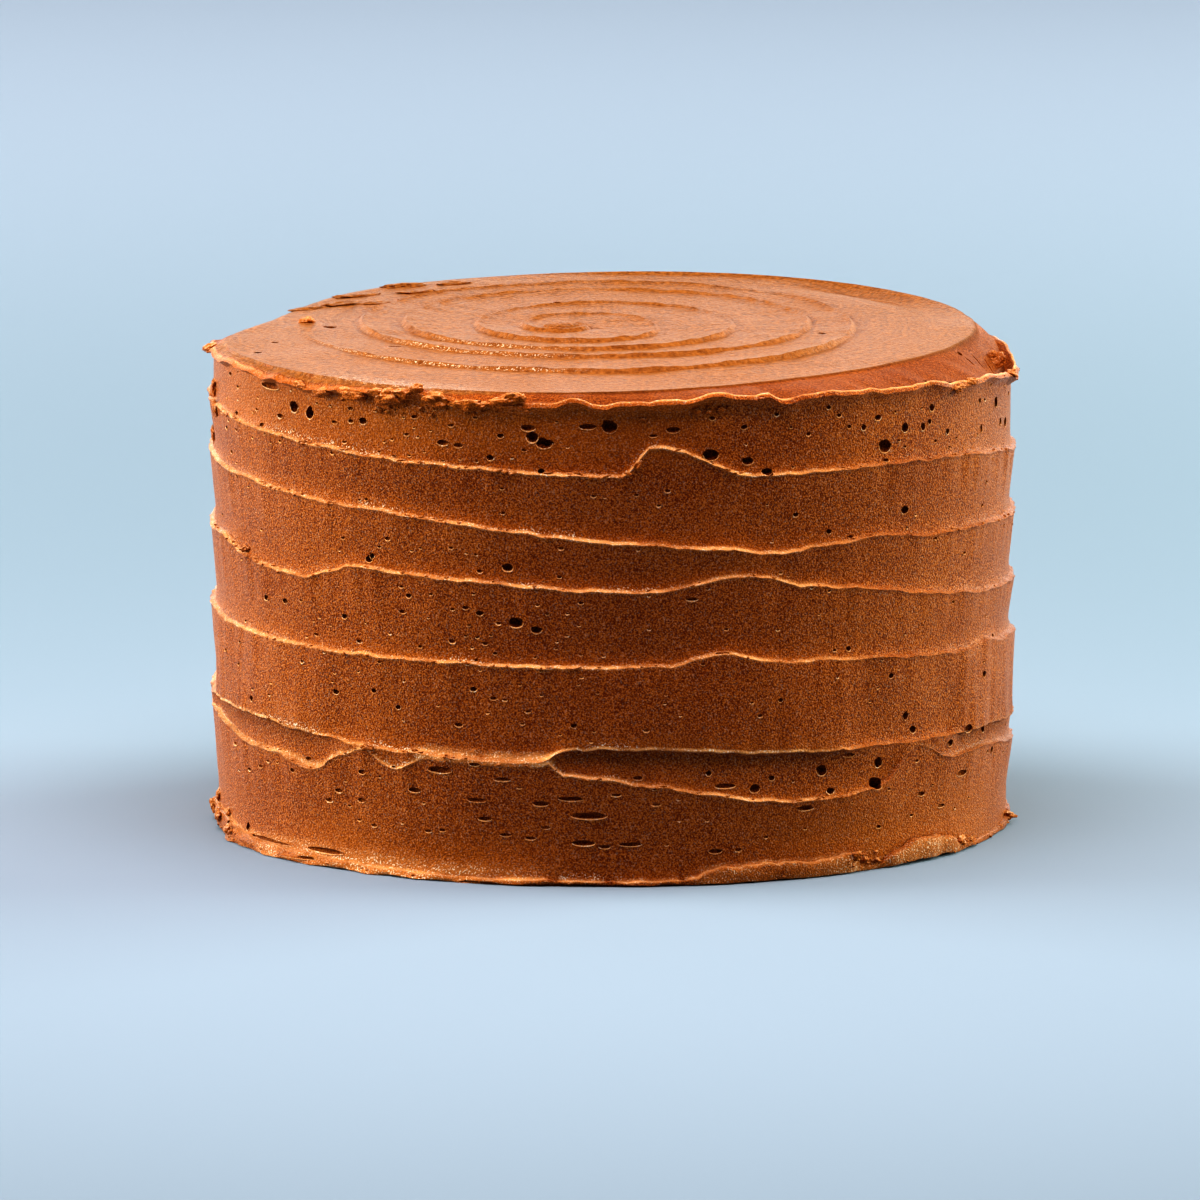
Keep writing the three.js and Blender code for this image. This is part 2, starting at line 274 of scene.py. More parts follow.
def footFlare(azimuth, height):
    out = 0.0
    for start, end, tall, stand in icing["footFlares"]:
        along = swing((start + end) / 2, azimuth) / (end - start) + 0.5
        ends = between(along, 0, 0.15, 0.85, 1)
        out = max(out, stand * ends * max(0.0, 1 - height / tall) ** 2)
    x, y, z = onSide(azimuth, 100, 6 * height)
    return out * (1 + 0.6 * rough(x, y, z, 9, 66) + 0.3 * rough(x, y, z, 4, 67))


def footTop(azimuth):
    return onSide(azimuth, sideRadius(azimuth, icing["footHeight"]), icing["footHeight"])


def thickened(column):
    share = 0.0
    for turn, start, end, more in icing["thickened"]:
        along = column * stepAngle - 360 * turn
        share = max(share, more * between(along, start, start + 4, end - 3, end))
    return share


def ridgePoint(column):
    # point on the crest of the ridge, as the knife left it
    azimuth = columnAzimuth(column)
    if column <= startColumn:
        return lipCrest(azimuth)
    if column >= endColumn:
        return footTop(azimuth)
    height = ridgeHeight(column * stepAngle)
    fadeIn = smoothstep((column - startColumn) * stepAngle, 0, 50)
    fadeOut = smoothstep((endColumn - column) * stepAngle, 0, 100)
    x, y, z = onSide(azimuth, 100, height)
    height += (0.5 * rough(x, y, z, 8, 1) + 0.42 * rough(x, y, z, 2.6, 2)) * fadeIn * fadeOut
    if column < startColumn + columns:
        height = min(height, lipTop(azimuth) - 0.12 * min(1.0, (column - startColumn) / 8))
    uneven = 1 + 0.35 * rough(x, y, z, 11, 5) + 0.4 * rough(x, y, z, 2.6, 6)
    stand = lerp(icing["lipStand"], icing["ridgeStand"] * uneven, fadeIn) * fadeOut
    stand += thickened(column)
    return onSide(azimuth, sideRadius(azimuth, height) + stand, height)


def overhang(column):
    # where the ridge hangs over the band below instead of stepping out of the band above
    share = 0.0
    for turn, start, end in icing["overhangs"]:
        along = column * stepAngle - 360 * turn
        share = max(share, between(along, start, start + 5, end - 10, end))
    return share


def lipRoll(azimuth):
    # height of the rolled lip, thick from the front round to the right
    x, y, z = onSide(azimuth, 100, 0)
    thick = between(swing(40, azimuth), -62, -46, 50, 70)
    return lerp(1.4, 2.5, thick) * (1 + 0.35 * rough(x, y, z, 5, 14) + 0.45 * rough(x, y, z, 13, 15))


def standOf(point, azimuth):
    return math.hypot(point[0], point[1]) - sideRadius(azimuth, point[2])


def sideSection(column):
    azimuth = columnAzimuth(column)
    upper, lower = ridgePoint(column - columns), ridgePoint(column)
    upperStand, lowerStand = standOf(upper, azimuth), standOf(lower, azimuth)
    tall = upper[2] - lower[2]
    share = min(1.0, max(0.0, tall / icing["bandFull"]))
    filled = 1 - smoothstep(tall, 0.5, icing["bandFull"])
    lipped = 1 - smoothstep((column - columns - startColumn) * stepAngle, 0, 45)
    overUpper = overhang(column - columns) * smoothstep(tall, 0.3, 3)
    overLower = overhang(column)
    rollTall = lipRoll(azimuth)
    x, y, z = onSide(azimuth, 100, lower[2])
    beadShare = 0.68 * (1 + 0.3 * rough(x, y, z, 16, 7) + 0.25 * rough(x, y, z, 5, 8))
    heights = [upper[2] - below * share * lerp(1, 0.65 * rollTall, lipped) for below in icing["browRows"]]
    top, bottom = heights[-1], lower[2] + share * icing["filletRows"][0]
    heights += [lerp(top, bottom, part) for part in icing["bandShares"]]
    heights += [lower[2] + share * above for above in icing["filletRows"]]
    section = []
    for row, height in enumerate(heights):
        if row == 0 or row == len(heights) - 1:
            section.append(upper if row == 0 else lower)
            continue
        below, above = upper[2] - height, height - lower[2]
        near, far = (min(99.0, max(0.0, gap / (share + 1e-6))) for gap in (above, below))
        swingOut = (1 - beadShare) * max(0.0, 1 - near / icing["fillet"]) ** 2.4
        swingOut += beadShare * max(0.0, 1 - near / icing["bead"]) ** 1.3
        lean = 0.15 * max(0.0, 1 - far / 0.5) + 0.85 * max(0.0, 1 - below / max(0.01, tall - 3 * share))
        underLip = 1 + 0.65 * math.sin(math.pi * min(1.0, below / (0.9 * rollTall)))
        underLip = underLip * (1 - smoothstep(below, 0.4 * rollTall, rollTall)) + 0.1
        straight = lerp(upperStand, lowerStand, min(1.0, max(0.0, below / max(0.01, tall))))
        stand = lerp(upperStand * lerp(lean, underLip, lipped) + lowerStand * swingOut, straight, overLower)
        recess = upperStand * (1 - smoothstep(far, 0.05, 0.8)) + lowerStand * swingOut + 0.1
        stand = lerp(lerp(stand, straight, filled), recess, overUpper)
        x, y, z = onSide(azimuth, 100, height)
        window = min(1.0, below / 2, above / 2) * share
        stand += window * (0.16 * rough(x, y, 2 * z, 22, 11) + 0.07 * rough(x, y, 2 * z, 7, 12))
        section.append(onSide(azimuth, sideRadius(azimuth, height) + stand, height))
    return section


def topAt(x, y):
    return icing["topHeight"] + icing["topTilt"] * y


def flatEdge(azimuth):
    radius = icing["flatRadius"] + 0.4 * math.sin(4 * math.radians(azimuth))
    for middle, cut, before, after in icing["bevels"]:
        radius -= cut * swell(azimuth, middle, before, after)
    x, y, z = onSide(azimuth, radius, 0)
    x, y, z = onSide(azimuth, radius + 0.35 * rough(x, y, z, 9, 51) + 0.2 * rough(x, y, z, 3, 52), 0)
    middle, rise, before, after = icing["backRim"]
    return x, y, topAt(x, y) + rise * swell(azimuth, middle, before, after)


spiralAngles = [-90 + 90 * index for index in range(len(icing["spiralRadii"]))]
spiralCurve = curveThrough(spiralAngles, icing["spiralRadii"])
spiralFirst = round(icing["spiralStart"] / stepAngle)
spiralLast = round(spiralAngles[-1] / stepAngle)


def spiralPoint(column):
    azimuth = columnAzimuth(column)
    if column <= spiralFirst:
        return flatEdge(azimuth)
    angle = column * stepAngle
    distance = spiralCurve(max(angle, -90))
    distance = 0 if distance < 0.25 else distance       # the nub
    drift = min(1.0, distance / icing["spiralDrift"])
    x, y, z = onSide(azimuth, distance, 0)
    x += lerp(icing["spiralNub"][0], icing["spiralCentre"][0], drift)
    y += lerp(icing["spiralNub"][1], icing["spiralCentre"][1], drift)
    fadeIn = smoothstep((column - spiralFirst) * stepAngle, 60, 170)
    uneven = 1 + 0.5 * rough(x, y, 0, 14, 21) + 0.35 * rough(x, y, 0, 4, 22)
    stand = icing["spiralStand"] * fadeIn * uneven
    if angle < -90:
        edge = flatEdge(azimuth)
        blend = smoothstep(-90 - angle, 0, 90)
        x, y = lerp(x, edge[0], blend), lerp(y, edge[1], blend)
        stand = lerp(stand, edge[2] - topAt(edge[0], edge[1]), blend)
    return x, y, topAt(x, y) + stand


def topSection(column):
    outer, inner = spiralPoint(column - columns), spiralPoint(column)
    wide = math.hypot(outer[0] - inner[0], outer[1] - inner[1])
    share = min(1.0, wide / 9)
    outerStand, innerStand = outer[2] - topAt(outer[0], outer[1]), inner[2] - topAt(inner[0], inner[1])
    inwards = [after * share for after in icing["treadRows"]]
    top, bottom = inwards[-1], wide - icing["riserRows"][0] * share
    inwards += [lerp(top, bottom, part) for part in icing["treadShares"]]
    inwards += [wide - before * share for before in icing["riserRows"]]
    section = []
    for row, inward in enumerate(inwards):
        if row == 0 or row == len(inwards) - 1 or wide < 1e-6:
            section.append(outer if row == 0 else inner)
            continue
        t = inward / wide
        x, y = lerp(outer[0], inner[0], t), lerp(outer[1], inner[1], t)
        before = wide - inward
        fall = 0.45 * math.exp(-inward / 1.1) + 0.4 * max(0.0, 1 - inward / 9) + 0.15
        stand = outerStand * fall
        rise = max(0.0, 1 - before / (1.5 * share + 1e-6))
        stand = lerp(stand, innerStand, rise * rise * (1.7 - 0.7 * rise))
        stand -= icing["furrow"] * innerStand * hump(before - 1.5 * share, 1.2 * share + 1e-6)
        if column - columns <= spiralFirst:
            middle, depth, reach, inside = icing["rearHollow"]
            around = swell(columnAzimuth(column), middle, reach, reach)
            stand -= depth * around * hump(inward - inside, inside)
        stand = lerp(lerp(outerStand, innerStand, t), stand, share)
        window = min(1.0, inward / 2, before / 2) * share
        groove = rough(inward / 3.4, column * stepAngle / 40, column // columns, 1, 33)
        stand += window * (0.25 * rough(x, y, 0, 18, 31) + 0.12 * rough(x, y, 0, 6, 32) + 0.3 * groove)
        section.append((x, y, topAt(x, y) + stand))
    return section


def rimSection(azimuth):
    # flat edge, shoulder, trough behind the lip, lip; no trough where the flat top runs out to the lip
    edge, crest = flatEdge(azimuth), lipCrest(azimuth)
    radius = lipRadius(azimuth)
    opened = smoothstep(radius - icing["lipWidth"] - math.hypot(edge[0], edge[1]), 1, 8)
    middle, deeper, before, after = icing["lipCup"]
    trough = crest[2] - icing["lipDepth"] - deeper * swell(azimuth, middle, before, after)
    footHigh = lerp((2 * edge[2] + crest[2]) / 3, trough, opened)
    foot = onSide(azimuth, radius - icing["lipWidth"], footHigh)
    section = [edge]
    for part in (0.025, 0.07, 0.2, 0.4, 0.6, 0.8, 0.94):
        x, y = lerp(edge[0], foot[0], part), lerp(edge[1], foot[1], part)
        step = 0.5 * min(1.0, part / 0.05) * (1 - part)     # the smoothed flat ends in a small step
        bulge = 1.8 * part * (1 - part) - step + 0.16 * rough(x, y, 0, 8, 41) * min(1, 4 * part)
        section.append((x, y, lerp(edge[2], foot[2], part) + bulge * opened))
    section.append(foot)
    for back, climb in ((1.9, 0.25), (1.35, 0.62), (0.8, 0.91), (0.35, 1.05)):
        along = 1 - back / icing["lipWidth"]
        height = lerp(footHigh, crest[2], lerp(along ** 1.5, climb, opened))
        section.append(onSide(azimuth, radius - back, height))
    section.append(crest)
    return section


def footSection(azimuth):
    tall, stand, gap = footRoll(azimuth)
    section = [footTop(azimuth)]
    rows = [(lerp(icing["footHeight"], tall, share), -0.12 * share ** 6) for share in icing["footAbove"]]
    rows += [(lerp(gap, tall, share), out) for share, out in icing["footRows"]] + [(0, -0.5)]
    for height, out in rows:
        out = stand * out + footFlare(azimuth, height) - (1.0 * gap if out < 0 and height < tall else 0)
        section.append(onSide(azimuth, sideRadius(azimuth, height) + out, height))
    edge = section[-1]
    section += [(edge[0] * part, edge[1] * part, 0) for part in (0.95, 0.6, 0)]
    return section


def woundStrip(name, sections, closed):
    # a chain of points, swept round by the Screw modifier and moved to its sections
    rows = len(sections[0]) - 1
    clearSelection()
    bpy.ops.mesh.primitive_grid_add(x_subdivisions=rows, y_subdivisions=1, size=0.1, location=(0, 0, 0))
    strip = bpy.context.object
    strip.name = name
    bpy.ops.object.mode_set(mode="EDIT")
    bpy.ops.mesh.select_all(action="DESELECT")
    bpy.ops.object.mode_set(mode="OBJECT")
    for vertex in strip.data.vertices:
        vertex.select = vertex.co.y > 0
    bpy.ops.object.mode_set(mode="EDIT")
    bpy.ops.mesh.delete(type="VERT")
    bpy.ops.object.mode_set(mode="OBJECT")
    sweep = strip.modifiers.new("sweep", "SCREW")
    sweep.axis = "Z"
    steps = len(sections) if closed else len(sections) - 1
    sweep.angle = 2 * math.pi * (1 if closed else steps / columns)
    sweep.steps = sweep.render_steps = steps
    sweep.use_normal_calculate = False
    bpy.ops.object.modifier_apply(modifier="sweep")
    places = [value * mm for section in sections for point in section for value in point]
    strip.data.vertices.foreach_set("co", places)
    strip.data.update()
    print(name, len(strip.data.vertices), "points")
    return strip


sideColumns = range(startColumn, endColumn + columns + 1)
topColumns = range(spiralFirst, spiralLast + columns + 1)
sideStrip = woundStrip("sideStrip", [sideSection(column) for column in sideColumns], False)
topStrip = woundStrip("topStrip", [topSection(column) for column in topColumns], False)
rimStrip = woundStrip("rimStrip", [rimSection(columnAzimuth(column)) for column in range(columns)], True)
footStrip = woundStrip("footStrip", [footSection(columnAzimuth(column)) for column in range(columns)], True)

clearSelection()
for strip in (sideStrip, topStrip, rimStrip, footStrip):
    strip.select_set(True)
bpy.context.view_layer.objects.active = sideStrip
bpy.ops.object.join()
iced = bpy.context.object
iced.name = "icedCake"
bpy.ops.object.mode_set(mode="EDIT")
bpy.ops.mesh.select_all(action="SELECT")
bpy.ops.mesh.remove_doubles(threshold=5e-7)
bpy.ops.mesh.normals_make_consistent(inside=False)
bpy.ops.mesh.select_non_manifold(extend=False)
bpy.ops.object.mode_set(mode="OBJECT")
openPoints = sum(vertex.select for vertex in iced.data.vertices)
print("icing joined,", len(iced.data.polygons), "faces,", openPoints, "loose edge points")


# pits: burst air bubbles, cut into the icing

pits = {
    "seed": 11, "lean": 0.8,     # how far they reach up as they go in
    "side": [                    # azimuth, height, wide, tall
        (-58, 117, 8.5, 1.8), (-52, 113, 3.2, 2.6), (-48.5, 112.2, 3.0, 3.0), (-55.5, 110, 2.6, 1.2),
        (-38, 112, 2.6, 1.4), (-12, 113.1, 3.6, 1.6), (-11.4, 110.9, 3.0, 2.6), (-9.7, 109.5, 4.2, 2.4),
        (-24.7, 108.4, 3.2, 1.4), (-22.3, 108.0, 2.4, 1.2), (-17.5, 105.4, 2.0, 1.2),
        (-10.1, 102.6, 1.8, 1.6), (-16, 110.9, 1.6, 1.0), (-3.6, 113.7, 4.2, 1.5), (-0.5, 113.7, 3.8, 2.8),
        (8.4, 112.8, 3.4, 1.6), (18.6, 112.9, 1.8, 1.0), (13.8, 106.4, 4.0, 2.5), (19.2, 104.5, 3.0, 1.7),
        (5.6, 111.4, 2.2, 0.7), (22, 101.6, 2.8, 1.6), (42, 105.2, 4.0, 3.2), (46, 109, 2.6, 2.2),
        (50, 108.4, 1.8, 1.8), (51.5, 109.4, 1.4, 1.2), (52, 112.8, 2.0, 1.8), (38, 110.4, 1.6, 1.4),
        (40.6, 112.4, 2.2, 1.2), (56, 106, 1.6, 1.4), (66.5, 104.5, 1.2, 3.0), (73, 109.5, 2.8, 2.4),
        (66, 111.5, 1.2, 1.2), (75.5, 104, 2.0, 1.6), (79, 103, 2.6, 2.2), (42, 101.6, 2.0, 1.0),
        (-37, 78, 2.4, 1.6), (-15, 78.5, 2.8, 1.8), (46, 88.6, 2.8, 1.8), (32, 85.5, 1.6, 1.0),
        (26.5, 90.5, 1.6, 1.0), (-59, 64, 2.0, 1.3), (-54, 64.3, 2.2, 1.2), (-41.5, 63, 1.8, 1.2),
        (-19, 67, 2.0, 1.2), (-13.8, 65, 4.0, 2.2), (-10.8, 63.4, 2.8, 1.6), (11, 71, 3.0, 0.9),
        (-36.5, 78.8, 1.5, 1.2), (-30, 70, 1.6, 1.0), (-43, 44, 2.0, 1.2), (-36, 45.5, 1.8, 1.0),
        (-20, 48, 1.8, 1.0), (-32, 42, 1.6, 1.0), (-63, 37.8, 1.8, 1.4), (24, 45, 1.4, 1.0),
        (35.5, 56, 1.6, 1.2), (43, 48, 1.6, 1.2), (66.5, 43, 1.8, 1.4), (46.5, 37.2, 1.8, 2.2),
        (48.2, 33.4, 2.4, 1.6), (-5.5, 40, 1.6, 1.0), (-3.4, 17.6, 9.0, 1.9), (-5.9, 21.8, 6.4, 1.2),
        (-10.2, 20.4, 4.0, 1.3), (-18.4, 16.0, 3.6, 1.1), (-19.5, 20.6, 5.2, 1.1), (-29.1, 21.9, 3.4, 1.3),
        (-15.6, 26.2, 4.6, 0.9), (-4.2, 10.7, 5.6, 1.5), (-1.2, 9.8, 2.8, 0.9), (2.4, 10.4, 5.6, 1.0),
        (-9.6, 14.4, 2.4, 0.8), (-15.4, 12.2, 3.0, 0.8), (-11.8, 11.6, 2.8, 0.8), (-38, 25, 2.6, 1.2),
        (-52, 22.5, 2.2, 1.0), (-19.6, 29.6, 2.8, 1.1), (-25, 27.6, 7.0, 1.8), (0.4, 22.8, 2.4, 0.7),
        (6, 20.4, 2.4, 0.7), (16, 24.3, 5.4, 1.2), (13.6, 27.6, 1.5, 1.2), (50, 17, 2.6, 1.2),
        (60, 19.8, 5.2, 1.6), (41, 26.8, 2.6, 2.8), (40.4, 21.4, 3.8, 3.6), (31, 26.4, 3.0, 2.4),
        (32.4, 21.2, 2.4, 1.6), (20.4, 23.2, 2.8, 1.8), (23, 25.6, 1.6, 1.2), (28, 17.6, 5.0, 1.4),
        (35.4, 29.6, 3.6, 1.0), (56.6, 28.2, 3.0, 1.6), (61.4, 30.6, 4.2, 2.0), (68.4, 28.8, 2.2, 2.2),
        (71, 22.8, 2.0, 1.4), (55, 12.8, 3.4, 0.9), (-73.4, 3.4, 1.6, 2.4), (-66.3, 4.6, 2.2, 1.8),
        (-45.6, 3.7, 13.0, 1.3), (-59.4, 3.2, 20.0, 0.9), (-48.6, 1.5, 15.0, 0.8), (14.6, 8.2, 3.4, 1.2),
        (18, 8.2, 1.8, 0.8)],
    "top": [                     # x, y, wide, tall, turn
        (-71, 11, 3.4, 3.0, 0), (77, -56, 2.2, 1.6, 0), (83, -50, 3.6, 2.6, 0), (86, -20, 2.2, 1.6, 0),
        (91, -14, 6.5, 1.0, 70), (93.5, -9, 5.0, 0.9, 60), (88.5, -21, 4.0, 0.9, 70),
        (-66, 60, 6.5, 2.2, 30), (-56, 78, 6.0, 2.0, 25), (-53, 56, 3.4, 2.4, 20), (-50, 66.5, 6.0, 1.2, 20),
        (-70, 45.5, 6.5, 1.2, 34), (-84, -14, 2.0, 1.6, 0), (-88, -30, 2.0, 2.0, 0), (-54, -21, 3.4, 1.4, 0),
        (52, 0, 2.0, 1.6, 0), (-14, 52, 2.2, 1.6, 0)],
    "scattered": [               # azimuths, heights, how many, widths, tall over wide
        (-75, -5, 103, 117, 90, 0.8, 2.2, 0.42), (-5, 84, 101, 117, 34, 0.7, 1.6, 0.6),
        (-80, 85, 38, 98, 100, 0.7, 1.6, 0.5), (-70, 10, 9, 28, 60, 0.9, 2.8, 0.36),
        (12, 84, 9, 30, 26, 0.8, 2.0, 0.45), (-40, -4, 56, 84, 30, 0.8, 2.0, 0.5),
        (-62, 0, 36, 68, 44, 0.8, 2.2, 0.42), (90, 270, 8, 116, 60, 0.8, 2.4, 0.55),
        (100, 260, 10, 30, 24, 1.2, 3.6, 0.45)],
}


def modelOnce(name, subdivisions):
    clearSelection()
    bpy.ops.mesh.primitive_ico_sphere_add(subdivisions=subdivisions, radius=1, location=(0, 0, 0))
    shape = bpy.context.object
    shape.name = name
    return shape


def roughen(mesh, amount, spot):
    for vertex in mesh.vertices:
        broad, fine = noise.noise(vertex.co * 1.2 + spot), noise.noise(vertex.co * 3 + spot)
        vertex.co *= 1 + amount * broad + 0.5 * amount * fine


def copyOf(shape, place, normal, wide, tall, deep, amount, turn=0.0):
    # own mesh, roughened, with its width along the icing and its depth along the normal
    piece = shape.copy()
    piece.data = shape.data.copy()
    bpy.context.collection.objects.link(piece)
    roughen(piece.data, amount, Vector((place.x, place.y, place.z)) * 900)
    along = Vector((0, 0, 1)).cross(normal)
    along = along.normalized() if along.length > 0.2 else Vector((1, 0, 0))
    up = normal.cross(along)
    axes = Matrix((along, up, normal)).transposed() @ Matrix.Rotation(math.radians(turn), 3, "Z")
    axes = axes @ Matrix.Diagonal((wide / 2, tall / 2, deep)) * mm
    piece.data.transform(Matrix.Translation(place) @ axes.to_4x4())
    return piece


def joinAll(pieces, name):
    clearSelection()
    for piece in pieces:
        piece.select_set(True)
    bpy.context.view_layer.objects.active = pieces[0]
    bpy.ops.object.join()
    bpy.context.object.name = name
    return bpy.context.object


def intoSide(azimuth, height):
    # point and normal of the side, looking in from outside
    start, inwards = Vector(onSide(azimuth, 130, height)) * mm, Vector(onSide(azimuth, -1, 0))
    return iced.ray_cast(start, inwards)[1:3]


def pitAxis(normal):
    return (normal - Vector((0, 0, pits["lean"]))).normalized()


def ontoTop(x, y):
    return iced.ray_cast(Vector((x, y, 140)) * mm, Vector((0, 0, -1)))[1:3]


bpy.context.view_layer.update()
draw = random.Random(pits["seed"])
smallPit, largePit = modelOnce("smallPit", 2), modelOnce("largePit", 3)
cutters, taken, rims = [], [], []
wallLooks = [bpy.data.materials.new("slitWall"), bpy.data.materials.new("pitWall")]
for azimuth, height, wide, tall in pits["side"]:
    place, normal = intoSide(azimuth, height)
    shape = largePit if wide > 2.4 else smallPit
    hollow = tall > 0.5 * wide
    deep = 0.35 + 0.45 * min(wide, 1.6 * tall) if hollow else 0.25 + 0.3 * tall
    cutters.append(copyOf(shape, place, pitAxis(normal), wide, tall, deep, 0.32 if hollow else 0.25))
    cutters[-1].data.materials.append(wallLooks[hollow])
    rims.append((azimuth, place, normal, wide, tall, deep))
    taken.append((place, wide))
for x, y, wide, tall, turn in pits["top"]:
    place, normal = ontoTop(x, y)
    cutters.append(copyOf(largePit, place, normal, wide, tall, 0.3 * tall + 0.2, 0.3, turn))
    cutters[-1].data.materials.append(wallLooks[tall > 0.6 * wide])
    taken.append((place, wide))
for left, right, low, high, count, smallest, largest, flatness in pits["scattered"]:
    for index in range(count):
        azimuth, height = draw.uniform(left, right), draw.uniform(low, high)
        height = min(height, lipTop(azimuth) - 2.5)
        wide = lerp(smallest, largest, draw.random() ** 2.2)
        place, normal = intoSide(azimuth, height)
        if any((place - other).length < (0.75 * (wide + size) + 0.3) * mm for other, size in taken):
            continue
        deep = 0.3 + 0.45 * wide * flatness
        cutters.append(copyOf(smallPit, place, pitAxis(normal), wide, flatness * wide, deep, 0.25))
        cutters[-1].data.materials.append(wallLooks[0])
        rims.append((azimuth, place, normal, wide, flatness * wide, deep))
        taken.append((place, wide))
print(len(cutters), "pits placed")
cutter = joinAll(cutters, "pitCutter")
iced.data.materials.append(bpy.data.materials.new("outside"))
before = len(iced.data.polygons)
useOnly(iced)
bite = iced.modifiers.new("pits", "BOOLEAN")
bite.operation, bite.solver, bite.object = "DIFFERENCE", "MANIFOLD", cutter
bite.material_mode = "TRANSFER"
bpy.ops.object.modifier_apply(modifier="pits")
for leftover in (cutter, smallPit, largePit):
    bpy.data.objects.remove(leftover)
wallNames = [look.name for look in iced.data.materials]
pitWalls = {face.index: wallNames[face.material_index] for face in iced.data.polygons if face.material_index}
print("pits cut,", before, "->", len(iced.data.polygons), "faces,", len(pitWalls), "in the pits", wallNames)


# raised lower rim of each pit: half a ring, modelled once

rimShape = {"segments": 16, "around": 5, "thin": 0.1, "thick": 0.17}     # thickness in shares and in mm

clearSelection()
bpy.ops.mesh.primitive_torus_add(major_segments=rimShape["segments"], minor_segments=rimShape["around"],
                                 major_radius=1, minor_radius=rimShape["thin"], location=(0, 0, 0))
halfRing = bpy.context.object
halfRing.name = "halfRing"
bpy.ops.object.mode_set(mode="EDIT")
bpy.ops.mesh.select_all(action="DESELECT")
bpy.ops.object.mode_set(mode="OBJECT")
for vertex in halfRing.data.vertices:
    vertex.select = vertex.co.y > 0.1
bpy.ops.object.mode_set(mode="EDIT")
bpy.ops.mesh.delete(type="VERT")
bpy.ops.mesh.select_all(action="SELECT")
bpy.ops.mesh.fill_holes(sides=0)
bpy.ops.object.mode_set(mode="OBJECT")


def rimOf(place, normal, wide, tall, deep, thick):
    # follows the cut edge of a leaning pit, thinner at its ends
    piece = halfRing.copy()
    piece.data = halfRing.data.copy()
    bpy.context.collection.objects.link(piece)
    along = Vector((0, 0, 1)).cross(normal).normalized()
    up = normal.cross(along)
    lean = math.atan(pits["lean"])
    half = 1 / math.hypot(2 * math.cos(lean) / tall, math.sin(lean) / deep)
    for vertex in piece.data.vertices:
        x, y, z = vertex.co
        turn, out = math.atan2(y, x), (math.hypot(x, y) - 1) / rimShape["thin"]
        here = thick * lerp(0.35, 1, max(0.0, -math.sin(turn)) ** 0.7)
        here *= 1 + 0.5 * noise.noise(place * 900 + Vector((3 * turn, 0, 0)))
        ring = Vector((wide / 2 * math.cos(turn), half * math.sin(turn), 0))
        ring += Vector((math.cos(turn), math.sin(turn), 0)) * here * (out + 0.4)
        raised = normal * here * (z / rimShape["thin"] + 0.1)
        vertex.co = place + (along * ring.x + up * ring.y + raised) * mm
    return piece


rimPieces, rimHighlight = [], []
for azimuth, place, normal, wide, tall, deep in rims:
    # strength of the painted highlight on each rim, weaker towards the right
    pale = draw.uniform(0.35, 1) * (1 - 0.5 * smoothstep(swing(0, azimuth), 25, 60))
    rimPieces.append(rimOf(place, normal, wide, tall, deep, rimShape["thick"] * draw.uniform(0.7, 1.25)))
    rimHighlight += [pale] * len(halfRing.data.vertices)
rimPiece = joinAll(rimPieces, "pitRims")
bpy.data.objects.remove(halfRing)
print(len(rims), "pit rims set,", len(rimPiece.data.polygons), "faces")


# crumbs: torn lumps and flaps of icing on the lip, the ridges and the foot

